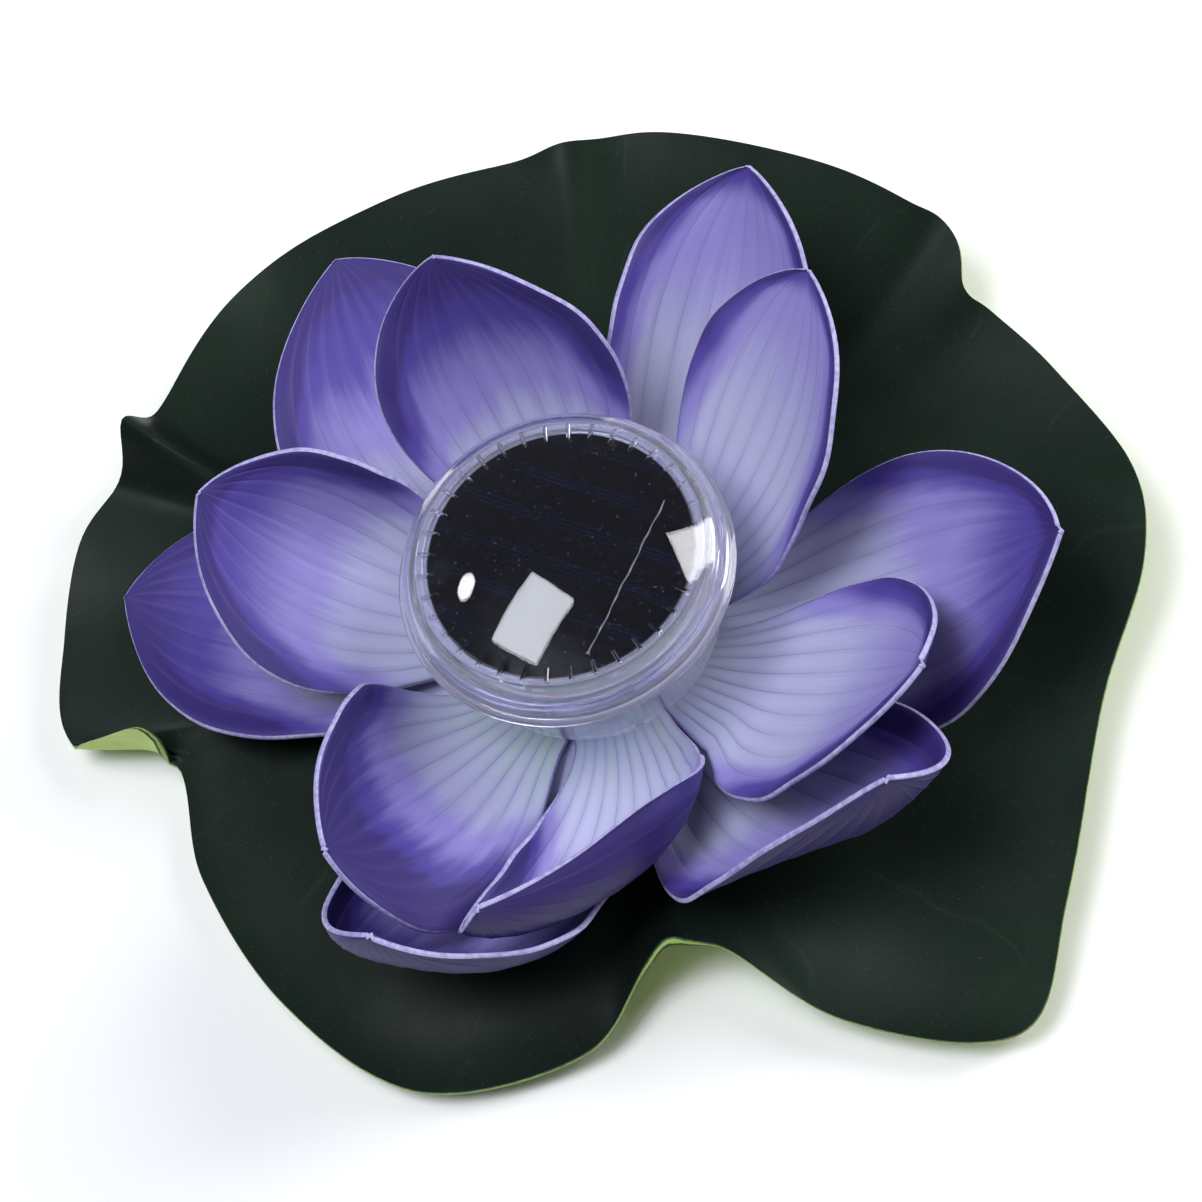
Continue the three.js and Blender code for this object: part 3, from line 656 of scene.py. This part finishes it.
# -------- lamp
STEM_RADIUS = 16.4
STEM_BORE = 14.2
BOWL_RADIUS = 37
CAP_RADIUS = 40
WALL = 1.7
SHOULDER_RISE = 7.2  # of the bowl's flat underside over the middle of the pad
NECK_RISE = 33.4  # of the neck's flange over that underside
NECK_HEIGHT = 9.2
CARRIER_POSTS = (30, 150, 270)  # bearings
CARRIER_POST_AT = 30
BOARD_POST_X = 20
BOARD_POST_Y = -14.5
STEM_CREST = 17.4  # radii of the screw ridges
NECK_CREST = 37.8
CAP_CREST = 37.4
CAP_CLEARANCE = 1.2
DOME_REACH = 36.0
GASKET_RADIUS = 38.8
CLAMP_BORE = 33
THREAD_PITCH = 4
CAP_PITCH = 3
RIB_COUNT = 36
BOWL_OUTSIDE = [
    (23, 0), (28, 0.9), (31.4, 3.6), (33.4, 8), (35.2, 16), (36.6, 26), (37.1, 31.6),
]
BOWL_STEPS = 26


def smooth_through(points, count):
    """count evenly spaced points on a smooth open curve through an outline's points."""
    shape = np.array(points, float)
    run = np.r_[0, np.cumsum(np.linalg.norm(np.diff(shape, axis=0), axis=1))]
    slopes = np.gradient(shape, run, axis=0)
    places = np.linspace(0, run[-1], count)
    k = np.minimum(np.searchsorted(run, places, side="right") - 1, len(run) - 2)
    h = (run[k + 1] - run[k])[:, None]
    t = (places - run[k])[:, None] / h
    return (
        (2 * t**3 - 3 * t**2 + 1) * shape[k] + (t**3 - 2 * t**2 + t) * h * slopes[k]
        + (3 * t**2 - 2 * t**3) * shape[k + 1] + (t**3 - t**2) * h * slopes[k + 1]
    )


def build_bowl(clear):
    stem_end = heights("lower_bowl")[0]
    bowl_z = PAD_MID + SHOULDER_RISE
    neck_z = bowl_z + NECK_RISE
    outside = [(r, bowl_z + z) for r, z in smooth_through(BOWL_OUTSIDE, BOWL_STEPS)]
    inside = [(r - WALL, max(z, bowl_z + WALL)) for r, z in outside if r - WALL > 22]
    top = neck_z + NECK_HEIGHT
    stem = thread(STEM_RADIUS, STEM_CREST, THREAD_PITCH, 1.25, stem_end + 0.9, 1.6)
    neck = thread(BOWL_RADIUS, NECK_CREST, CAP_PITCH, 1, neck_z + 2.9, 1.1)

    def profile(angle):
        return (
            [(5.3, stem_end), (STEM_RADIUS - 0.5, stem_end), (STEM_RADIUS, stem_end + 0.1)]
            + stem(angle)
            + [(STEM_RADIUS, bowl_z)] + outside
            + [(38.2, neck_z - 1.3), (39.6, neck_z - 1.0), (CAP_RADIUS, neck_z - 0.6)]
            + [(CAP_RADIUS, neck_z - 0.2), (39.7, neck_z), (BOWL_RADIUS, neck_z + 0.1)]
            + neck(angle)
            + [(BOWL_RADIUS, top - 0.4), (BOWL_RADIUS - 0.4, top)]
            + [(BOWL_RADIUS - WALL + 0.3, top), (BOWL_RADIUS - WALL, top - 0.3)]
            + [(BOWL_RADIUS - WALL, neck_z)] + inside[::-1]
            + [(STEM_BORE, bowl_z + WALL), (STEM_BORE, stem_end + 1.6), (5.3, stem_end + 1.6)]
        )

    bowl = turned("lamp_bowl", profile, [clear])
    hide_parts("lower_bowl")
    return bowl


def build_posts(clear):
    """The screw posts inside the bowl, which the panel's carrier and the board sit on."""
    bowl_z = PAD_MID + SHOULDER_RISE
    carrier_low = heights("panel_carrier")[0]
    board_low = heights("circuit_board")[0]
    posts = []
    for i, bearing in enumerate(CARRIER_POSTS):
        turn = math.radians(bearing)
        at = (CARRIER_POST_AT * math.cos(turn), CARRIER_POST_AT * math.sin(turn))
        low, high = bowl_z + 7, carrier_low - GAP
        section = [
            (0, low), (1.9, low), (2.6, low + 3), (2.6, high - 0.3), (2.3, high), (1.0, high),
            (1.0, high - 8), (0, high - 8),
        ]
        posts.append(turned(f"carrier_post_{i + 1}", section, [clear], 28, at=at))
    for i, x in enumerate((-BOARD_POST_X, BOARD_POST_X)):
        low, high = bowl_z + WALL, board_low - GAP
        section = [
            (0, low), (2.2, low), (2.2, high - 0.2), (2.0, high), (0.8, high),
            (0.8, high - 4), (0, high - 4),
        ]
        posts.append(turned(f"board_post_{i + 1}", section, [clear], 28, at=(x, BOARD_POST_Y)))
    return posts


FLANGE_RADIUS = 41.6
DOME_RADIUS = 76.2  # of the shallow ball that the dome is part of


def build_cap(clear, milky):
    low, cap_top = heights("dome_cap")
    inside = BOWL_RADIUS + CAP_CLEARANCE
    ridge = thread(inside, CAP_CREST, CAP_PITCH, 1, low + 0.7 + CAP_PITCH / 2, 1.1)

    def dome(r, drop):
        return cap_top - drop - DOME_RADIUS + math.sqrt(DOME_RADIUS**2 - r * r)

    reach = [DOME_REACH * math.sin(math.radians(a)) for a in range(0, 91, 4)]
    outer = [(r, dome(r, 0)) for r in reach]
    inner = [(r * 0.96, dome(r * 0.96, 1.5)) for r in reach]
    wall = [
        (40.3, 1.6), (40.1, 2.2), (40.0, 3.2), (39.9, 4.1), (39.7, 5.0), (39.5, 5.9), (39.2, 6.7),
        (38.85, 7.5), (38.4, 8.25), (37.85, 9.0), (37.2, 9.6), (36.6, 10.1),
    ]
    wall = [(r, low + h) for r, h in wall]

    def profile(angle):
        return (
            inner
            + [(36.2, low + 8.7), (37.0, low + 8.0), (37.5, low + 7.4), (inside, low + 6.3)]
            + ridge(angle)[::-1]
            + [(inside, low + 0.3), (inside + 0.3, low)]
            + [(FLANGE_RADIUS - 0.4, low), (FLANGE_RADIUS, low + 0.3)]
            + [(FLANGE_RADIUS, low + 0.9), (FLANGE_RADIUS - 0.3, low + 1.2)]
            + [(40.7, low + 1.35)]
            + wall
            + outer[::-1]
        )

    count = len(profile(0))
    skin = [0 if k < len(inner) or k >= count - len(outer) else 1 for k in range(count)]
    cap = turned("clear_cap", profile, [clear, milky], looks=skin)
    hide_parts("dome_cap")
    return cap


def build_gasket(rubber):
    low, high = heights("cap_gasket")
    middle = (low + high) / 2
    section = arc((GASKET_RADIUS, middle), (high - low) / 2, 0, 345, 14)
    ring = turned("cap_seal_ring", section, [rubber])
    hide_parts("cap_gasket")
    return ring


def build_panel(dark, edge):
    low, high = heights("solar_panel")
    radius = radius_of("solar_panel")
    section = [
        (0, low), (radius - 0.2, low), (radius, low + 0.2), (radius, high - 0.35),
        (radius - 0.1, high - 0.1), (radius - 0.35, high), (0, high),
    ]
    panel = turned("panel_disc", section, [dark, edge], looks=[0, 1, 1, 1, 1, 0, 0])
    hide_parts("solar_panel")
    return panel


CELL_TURN = math.radians(-48)  # bearing of the cell strips on the panel
JOIN_OFF = 18.0  # how far the joining wire lies from the panel's middle
JOIN_HALF = 21.3


def build_joining_wire(metal):
    """The flat tinned wire that joins the cell strips, laid across the panel."""
    top = heights("solar_panel")[1]
    along = Vector((-math.sin(CELL_TURN), math.cos(CELL_TURN), 0))
    off = Vector((math.cos(CELL_TURN), math.sin(CELL_TURN), 0))
    points = []
    rings = 60
    for i in range(rings + 1):
        share = i / rings * 2 - 1
        wander = 0.12 * math.sin(share * 9) + 0.08 * math.sin(share * 23 + 1)
        centre = along * (JOIN_HALF * share) + off * (JOIN_OFF + wander)
        wide = 0.19 + 0.06 * math.sin(share * 17) + (0.4 if share < -0.985 else 0)
        for side, rise in ((-1, 0.02), (-0.7, 0.14), (0.7, 0.14), (1, 0.02)):
            points.append(centre + off * (wide * side) + Vector((0, 0, top + rise)))
    faces = grid_faces(rings + 1, 4, wrap_columns=True)
    last = rings * 4
    faces += [(3, 2, 1, 0), (last, last + 1, last + 2, last + 3)]
    return make_piece("panel_joining_wire", [tuple(p) for p in points], faces, [metal])


def build_clamp(clear, bright):
    """The clear ring that holds the panel down, with short ribs reaching in over its edge."""
    low = heights("panel_clamp_ring")[0]
    outer = radius_of("panel_clamp_ring")
    section = [
        (CLAMP_BORE, low), (outer - 0.2, low), (outer, low + 0.2), (outer, low + 0.8),
        (outer - 0.2, low + 1), (CLAMP_BORE + 0.3, low + 1), (CLAMP_BORE, low + 0.7),
    ]
    ring = turned("panel_clamp", section, [clear])
    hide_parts("panel_clamp_ring")
    points, faces = [], []
    for i in range(RIB_COUNT):
        angle = 2 * math.pi * (i + 0.35) / RIB_COUNT
        tilt = 0.05 * math.sin(i * 2.4)
        start = len(points)
        stations = [(30.0, 0.3, 0.7), (30.3, 0.42, 1.2), (33.9, 0.46, 1.6), (34.2, 0.4, 1.4)]
        for r, wide, tall in stations:
            turn = angle + tilt * (r - CLAMP_BORE) / CLAMP_BORE
            half = [(-1, 0.15), (-1, tall - 0.2), (-0.5, tall)]
            for side, z in half + [(-x, y) for x, y in half[::-1]]:
                a = turn + side * wide / r
                points.append((r * math.cos(a), r * math.sin(a), low + z))
        faces += grid_faces(len(stations), 6, wrap_columns=True, start=start)
        last = start + (len(stations) - 1) * 6
        faces.append(tuple(start + k for k in range(5, -1, -1)))
        faces.append(tuple(last + k for k in range(6)))
    ribs = make_piece("panel_clamp_ribs", points, faces, [bright])
    sharpen(ribs)
    return [ring, ribs]


# -------- foam materials
LILAC_LIGHT = (0.40, 0.41, 0.60)
LILAC_MID = (0.25, 0.215, 0.54)
VIOLET = (0.072, 0.049, 0.29)
VIOLET_DEEP = (0.038, 0.024, 0.16)
GREEN_TINT = (0.36, 0.47, 0.40)


# Colours of the petals' backs from foot to tip: their violet dye, darkened to about half as painted
# shade for the backs that face away from the lamps.
BACK_DYE_AND_PAINTED_SHADE = [
    (0.0, (0.22, 0.21, 0.39)), (0.3, (0.085, 0.065, 0.26)), (0.7, (0.045, 0.03, 0.18)),
    (1.0, (0.03, 0.018, 0.13)),
]
VEIN_DARK = (0.10, 0.08, 0.24)
VEIN_SOFT = (0.14, 0.11, 0.32)
VEIN_BACK = (0.03, 0.018, 0.12)
LEAF_COLOURS = [
    (0.25, (0.0072, 0.0110, 0.0095)), (0.55, (0.0092, 0.0172, 0.0124)),
    (0.8, (0.0145, 0.0268, 0.0188)),
]
LEAF_RIBS = 22.0  # printed ribs round the pad
RIB_WIDTH = 1.1 * MM


def petal_coordinates(n, seed):
    """u along the petal, v from -1 to 1 across it, and a stretched point for streaks."""
    u, across, _ = n.split(n.coordinates("UV"))
    v = n.minus(n.times(across, 2.0), 1.0)
    return u, v, n.combine(n.times(u, 1.4), n.times(v, 9.0), seed * 3.7)


def fibres(n, u, v, seed, along, across):
    """Fine grain drawn out along the petal."""
    return n.noise(n.combine(n.times(u, along), n.times(v, across), seed), 1.0, 2.0)


def vein_mask(n, u, v, seed, width):
    """Thin lines along the petal that meet at its tip, a little uneven."""
    wander = n.noise(n.combine(n.times(u, 3.0), v, seed * 1.9), 1.0, 1.0)
    place = n.plus(n.times(v, float(VEINS)), n.swing(wander, 0.16))
    return n.span(n.math("ABSOLUTE", n.from_whole(place)), 0.0, width, 1.0, 0.0)


def petal_front(seed, green, dye):
    """Lilac foam dyed violet at its tip and sides, greenish at its foot, with dark veins."""
    n = Nodes(f"petal_front_{seed}")
    u, v, streak = petal_coordinates(n, seed)
    edge = n.math("ABSOLUTE", v)
    cloud = n.swing(n.grain(30.0, 3.0), 0.2)
    brushed = n.swing(n.noise(streak, 1.3, 3.0, 0.6), 0.16)
    fine = fibres(n, u, v, seed, 5.0, 60.0)
    dyed = n.plus(u, brushed, cloud, n.times(edge, edge, 0.1))
    tip = n.span(dyed, 0.3, 1.04, 0.0, dye)
    side = n.times(n.span(n.plus(edge, cloud), 0.6, 1.04), n.span(u, 0.15, 0.6, 0.1, 0.8))
    end = n.span(n.plus(u, n.times(edge, 0.05)), 0.9, 1.03, 0.0, 0.5)
    amount = n.plus(tip, side, end, n.swing(fine, 0.1), clamp=True)
    colour = n.ramp(amount, [
        (0.0, LILAC_LIGHT), (0.3, LILAC_MID), (0.72, VIOLET), (1.0, VIOLET_DEEP),
    ])
    base = n.times(n.span(u, 0.34, 0.0), green)
    between = n.span(n.noise(streak, 2.4, 1.0), 0.35, 0.65, 0.35, 1.0)
    colour = n.mix(n.times(base, between), colour, GREEN_TINT)
    lines = vein_mask(n, u, v, seed, 0.06)
    patchy = n.noise(n.combine(n.times(u, 4.0), v, seed * 5.1), 1.5, 1.0)
    shown = n.span(patchy, 0.3, 0.6, 0.25, 1.0)
    colour = n.mix(n.times(lines, shown, n.span(u, 0.05, 0.6, 0.5, 0.22)), colour, VEIN_DARK)
    soft = n.times(vein_mask(n, u, v, seed, 0.4), n.span(u, 0.1, 0.9, 0.2, 0.07))
    colour = n.mix(soft, colour, VEIN_SOFT)
    n.set(Base_Color=colour, Roughness=n.span(fine, 0.2, 0.8, 0.5, 0.64))
    n.set(Specular_IOR_Level=0.3)
    relief = n.minus(n.times(n.grain(900.0), 0.3), n.times(lines, 0.5))
    n.bump(n.plus(relief, n.times(fine, 0.3)), 0.4, 0.2)
    return n.material


def petal_back(seed):
    n = Nodes(f"petal_back_{seed}")
    u, v, streak = petal_coordinates(n, seed)
    fine = fibres(n, u, v, seed, 4.0, 50.0)
    dyed = n.plus(u, n.swing(n.noise(streak, 1.3, 3.0, 0.6), 0.45))
    amount = n.plus(n.span(dyed, 0.1, 0.75), n.swing(fine, 0.2), clamp=True)
    lines = vein_mask(n, u, v, seed, 0.12)
    # The back's colour is its violet dye with painted shade in it, darker towards the tip.
    colour = n.mix(n.times(lines, 0.45), n.ramp(amount, BACK_DYE_AND_PAINTED_SHADE), VEIN_BACK)
    n.set(Base_Color=colour, Roughness=0.5, Specular_IOR_Level=0.4)
    n.bump(n.plus(n.times(lines, 0.7), fine), 0.4, 0.2)
    return n.material


def cut_edge():
    n = Nodes("petal_cut_edge")
    speckle = n.grain(700.0, 3.0)
    colour = n.ramp(speckle, [(0.3, (0.27, 0.24, 0.50)), (0.6, (0.42, 0.40, 0.66))])
    colour = n.mix(n.span(n.grain(60.0), 0.45, 0.7, 0.0, 0.4), colour, (0.17, 0.13, 0.42))
    n.set(Base_Color=colour, Roughness=0.55)
    n.bump(speckle, 0.4, 0.2)
    return n.material


def polar(n):
    """Distance from the lamp's axis, bearing in turns, and x and y from the axis, in metres."""
    x, y, _ = n.split(n.coordinates())
    dx = n.minus(x, AXIS.x)
    dy = n.minus(y, AXIS.y)
    out = n.math("SQRT", n.plus(n.times(dx, dx), n.times(dy, dy)))
    return out, n.math("DIVIDE", n.math("ARCTAN2", dy, dx), 2 * math.pi), dx, dy


def scuff_lines(n, dx, dy, x_scale, y_scale, z=0.0):
    """Sparse long scratches that run along x or y, whichever has the smaller scale."""
    place = n.combine(n.times(dx, x_scale), n.times(dy, y_scale), z)
    return n.span(n.noise(place, 1.0, 2.0, 0.7), 0.71, 0.76)


def pad_top():
    """Dark green foam with faint printed ribs, scratches and dust."""
    n = Nodes("pad_top_print")
    out, bearing, dx, dy = polar(n)
    place = n.plus(n.times(bearing, LEAF_RIBS), n.swing(n.grain(28.0), 0.8))
    gap = n.math("ABSOLUTE", n.from_whole(place))
    thin = n.math("DIVIDE", RIB_WIDTH, n.math("MAXIMUM", out, 0.02))
    ribs = n.span(n.times(gap, 0.3), 0.0, thin, 1.0, 0.0)
    ribs = n.times(ribs, n.span(n.grain(50.0), 0.45, 0.6))
    colour = n.ramp(n.grain(18.0, 3.0), LEAF_COLOURS)
    colour = n.mix(n.times(ribs, 0.12), colour, (0.036, 0.058, 0.042))
    scratches = n.math("MAXIMUM", scuff_lines(n, dx, dy, 90.0, 900.0),
                       scuff_lines(n, dx, dy, 800.0, 110.0, 3.0))
    colour = n.mix(n.times(scratches, 0.14), colour, (0.09, 0.11, 0.09))
    dust = n.span(n.grain(1500.0), 0.66, 0.72)
    colour = n.mix(n.times(dust, 0.09), colour, (0.2, 0.22, 0.2))
    n.set(Base_Color=colour)
    n.set(Roughness=n.span(n.grain(60.0, 4.0), 0.2, 0.8, 0.33, 0.44))
    waxy = n.grain(16.0, 3.0)
    n.set(Specular_IOR_Level=n.span(waxy, 0.3, 0.7, 0.05, 0.11))
    relief = n.plus(n.times(n.grain(420.0, 3.0), 0.5), n.times(scratches, -0.3))
    n.bump(n.minus(relief, n.times(ribs, 0.5)), 0.3, 0.2)
    return n.material


def pad_under():
    n = Nodes("pad_underside")
    colour = n.ramp(n.grain(45.0, 3.0), [(0.3, (0.50, 0.68, 0.17)), (0.7, (0.62, 0.78, 0.25))])
    web = n.span(n.cells(120.0), 0.0, 0.05, 1.0, 0.0)
    colour = n.mix(n.times(web, 0.12), colour, (0.30, 0.45, 0.10))
    n.set(Base_Color=colour, Roughness=0.6)
    n.bump(n.grain(800.0), 0.3, 0.2)
    return n.material


def pad_edge():
    n = Nodes("pad_cut_edge")
    ragged = n.grain(380.0, 4.0, 0.7)
    level = n.split(n.coordinates("UV"))[1]
    dark = n.plus(level, n.times(ragged, 0.55), n.times(n.grain(40.0), 0.45))
    lime = n.mix(ragged, (0.27, 0.44, 0.09), (0.50, 0.70, 0.20))
    colour = n.mix(n.span(dark, 1.1, 1.35), lime, (0.022, 0.055, 0.018))
    n.set(Base_Color=colour, Roughness=0.65)
    n.bump(ragged, 0.6, 0.4)
    return n.material


# -------- lamp materials
def clear_plastic(name, tint, haze, scuff=0.5, clear=1.0, marked=0.1):
    """Clear moulded plastic. Lamps shine through it, so what is inside is lit."""
    n = Nodes(name)
    marks = n.grain(260.0, 3.0, 0.6)
    smears = n.grain(35.0)
    n.set(Base_Color=n.mix(smears, tint, tuple(c * 0.94 for c in tint)))
    n.set(Roughness=n.span(marks, 0.45, 0.75, haze, haze + marked))
    n.set(Transmission_Weight=clear, IOR=1.47)
    n.bump(n.plus(marks, n.times(smears, 2.0)), 0.12 * scuff, 0.12)
    open_way = n.add("BsdfTransparent", {0: tuple(0.9 * c + 0.06 for c in tint)})
    shadow = n.add("LightPath").outputs["Is Shadow Ray"]
    either = n.add("MixShader", {0: shadow, 1: n.shader.outputs[0], 2: open_way.outputs[0]})
    n.join(either.outputs[0], n.output.inputs[0])
    return n.material


STRIP_PITCH = 10.4 * MM  # of the cell strips
STRIP_START = 7.5 * MM
SCRIBED = (-1.1 * MM, 0.0, 1.1 * MM)  # the lines of one gap between strips


def panel_face():
    """Dark cell strips under clear resin, with faint blue scribed lines between them."""
    n = Nodes("panel_cells")
    _, _, dx, dy = polar(n)
    quarter = CELL_TURN + math.pi / 2
    off = n.plus(n.times(dx, math.cos(quarter)), n.times(dy, math.sin(quarter)))
    along = n.plus(n.times(dx, math.cos(CELL_TURN)), n.times(dy, math.sin(CELL_TURN)))
    strip = n.math("DIVIDE", n.minus(off, STRIP_START), STRIP_PITCH)
    gap = n.times(n.from_whole(strip), STRIP_PITCH)
    near = [n.math("ABSOLUTE", n.minus(gap, place)) for place in SCRIBED]
    lines = n.plus(*[n.span(one, 0.05 * MM, 0.32 * MM, 1.0, 0.0) for one in near])
    uneven = n.noise(n.combine(n.times(along, 60.0), n.times(off, 400.0)), 1.0, 3.0)
    shown = n.times(lines, n.span(uneven, 0.3, 0.7, 0.15, 1.0), clamp=True)
    ground = n.mix(n.grain(60.0), (0.002, 0.002, 0.003), (0.004, 0.004, 0.006))
    colour = n.mix(n.times(shown, 0.5), ground, (0.008, 0.014, 0.042))
    dust = n.span(n.grain(1300.0), 0.69, 0.73)
    colour = n.mix(n.times(dust, 0.22), colour, (0.3, 0.32, 0.36))
    n.set(Base_Color=colour, Specular_IOR_Level=0.06)
    n.set(Roughness=n.span(uneven, 0.2, 0.8, 0.12, 0.24))
    n.bump(n.grain(90.0), 0.05, 0.1)
    return n.material


def plain(name, light, dark, scale, roughness, metallic=0.0, relief=0.2):
    """A moulded or metal surface with slight colour variation and grain."""
    n = Nodes(name)
    grain = n.grain(scale * 9)
    n.set(Base_Color=n.mix(n.grain(scale, 3.0), dark, light), Metallic=metallic)
    n.set(Roughness=n.span(grain, 0.25, 0.75, roughness * 0.85, min(1.0, roughness * 1.2)))
    n.bump(grain, relief, 0.08)
    return n.material


def board_face():
    n = Nodes("board_mask")
    copper = n.span(n.cells(330.0), 0.05, 0.09, 1.0, 0.0)
    colour = n.mix(n.times(copper, 0.5), (0.05, 0.30, 0.15), (0.12, 0.48, 0.25))
    n.set(Base_Color=colour, Roughness=0.35)
    n.bump(copper, 0.3, 0.05)
    return n.material


# -------- studio
BOX_DISTANCE = 1300
BOX_TARGET_Z = 60


def facing(name, direction, level, size_mm, power):
    """A soft box that looks at the lamp from direction, its width along level."""
    data = bpy.data.lights.new(name, "AREA")
    data.shape = "RECTANGLE"
    data.size, data.size_y = (s * MM for s in size_mm)
    data.energy = power
    light = add_object(name, data)
    back = Vector(direction).normalized()
    side = Vector(level) - back * Vector(level).dot(back)
    side.normalize()
    up = back.cross(side)
    place = AXIS + Vector((0, 0, BOX_TARGET_Z * MM)) + back * BOX_DISTANCE * MM
    light.matrix_world = placed(place, side, up, back)
    return light


def build_studio():
    top = facing("top_box", (-0.33, 0.04, 0.94), (0.46, -0.87, 0.2), (470, 650), 9)
    fill = facing("fill_box", (-0.2, 0.1, 0.97), (0.46, -0.87, 0.2), (900, 900), 7.5)
    top.data.color = (0.88, 0.92, 1.0)
    fill.visible_glossy = False
    fill.visible_transmission = False
    facing("right_box", (0.885, 0.06, 0.454), (0.0, 1.0, 0.0), (480, 1150), 16)
    strip = facing("left_strip", (-0.55, 0.45, 0.70), (0.5, 0.6, 0.0), (210, 150), 1.2)
    strip.data.shape = "ELLIPSE"
    world = bpy.data.worlds.new("studio")
    bpy.context.scene.world = world
    world.use_nodes = True
    ground = world.node_tree.nodes["Background"]
    ground.inputs[0].default_value = (0.93, 0.95, 1.0, 1)
    ground.inputs[1].default_value = 0.09
    floor = Nodes("studio_floor")
    pale = floor.mix(floor.grain(3.0), (0.9, 0.9, 0.9), (0.94, 0.94, 0.94))
    floor.set(Base_Color=pale, Roughness=0.9)
    size = 6000
    corners = [(-size, -size, 0), (size, -size, 0), (size, size, 0), (-size, size, 0)]
    sheet = make_piece("floor", corners, [(0, 1, 2, 3)], [floor.material], smooth=False)
    bpy.context.scene.view_settings.view_transform = "Standard"


# -------- everything together
def dress(node, material):
    """Gives a CAD node that stays as it is its own material."""
    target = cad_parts[node]
    target.data.materials.clear()
    target.data.materials.append(material)
    target.data.polygons.foreach_set("use_smooth", [True] * len(target.data.polygons))
    sharpen(target, 32)


def finish_piece(piece, body):
    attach(piece, body)


def build_flower():
    edge = cut_edge()
    for whorl in (INNER, OUTER):
        ring = [one for one in PETALS if one["whorl"] is whorl]
        share_feet(ring)
        for i, one in enumerate(ring):
            tag = f"{whorl['tag']}_{i + 1}"
            front = petal_front(one["seed"], one["green"], one["dye"])
            looks = [front, petal_back(one["seed"]), edge]
            piece = build_petal(one, f"foam_petal_{tag}", looks)
            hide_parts(f"petal_{tag}")
            finish_piece(piece, "lamp")


def build_lamp():
    shell = clear_plastic("cap_clear", (0.93, 0.93, 0.98), 0.015, marked=0.02)
    milky = clear_plastic("cap_wall", (0.84, 0.84, 0.93), 0.04, 1.0, clear=0.92)
    hazy = clear_plastic("bowl_clear", (0.90, 0.91, 0.95), 0.05, 1.0, clear=0.9)
    rubber = plain("seal_rubber", (0.34, 0.34, 0.40), (0.26, 0.26, 0.32), 200, 0.7)
    tin = plain("tinned_wire", (0.5, 0.49, 0.48), (0.06, 0.06, 0.06), 420, 0.4, 1.0, 0.8)
    dark_edge = plain("panel_edge", (0.03, 0.03, 0.035), (0.015, 0.015, 0.02), 300, 0.4)
    finish_piece(build_bowl(hazy), "lamp")
    for post in build_posts(hazy):
        finish_piece(post, "lamp")
    finish_piece(build_cap(shell, milky), "cap")
    finish_piece(build_gasket(rubber), "cap_seal")
    finish_piece(build_panel(panel_face(), dark_edge), "lamp")
    finish_piece(build_joining_wire(tin), "lamp")
    for piece in build_clamp(milky, shell):
        finish_piece(piece, "lamp")
    dress("panel_carrier", hazy)
    dress("retaining_nut", hazy)
    dress("nut_washer", rubber)


def dress_inside():
    black = plain("moulded_black", (0.035, 0.035, 0.04), (0.02, 0.02, 0.024), 250, 0.5)
    grey = plain("moulded_grey", (0.42, 0.43, 0.46), (0.33, 0.34, 0.37), 250, 0.5)
    steel = plain("plated_steel", (0.66, 0.66, 0.68), (0.5, 0.5, 0.53), 400, 0.3, 1.0)
    brass = plain("sprung_brass", (0.74, 0.56, 0.25), (0.6, 0.43, 0.18), 400, 0.32, 1.0)
    red = plain("lead_red", (0.55, 0.03, 0.03), (0.4, 0.02, 0.02), 500, 0.45)
    dark = plain("lead_black", (0.03, 0.03, 0.03), (0.015, 0.015, 0.015), 500, 0.45)
    lens = clear_plastic("led_resin", (0.95, 0.95, 0.9), 0.05)
    looks = {
        "circuit_board": board_face(), "led": lens, "controller_chip": black,
        "boost_inductor": plain("ferrite", (0.13, 0.13, 0.14), (0.08, 0.08, 0.085), 300, 0.7),
        "battery_cell": plain("cell_sleeve", (0.10, 0.36, 0.18), (0.07, 0.28, 0.13), 120, 0.35),
        "battery_cradle": black, "contact_plate": brass, "contact_spring": brass,
        "switch_button": black, "switch_housing": grey,
        "panel_lead_red": red, "battery_lead_red": red, "switch_lead_1": red,
        "panel_lead_black": dark, "battery_lead_black": dark, "switch_lead_2": dark,
    }
    for node, look in looks.items():
        dress(node, look)
    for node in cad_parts:
        if "screw" in node:
            dress(node, steel)


make_camera()
build_flower()
leaf = build_pad([pad_top(), pad_under(), pad_edge()])
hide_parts("lily_pad")
finish_piece(leaf, "lamp")
build_lamp()
dress_inside()
build_studio()
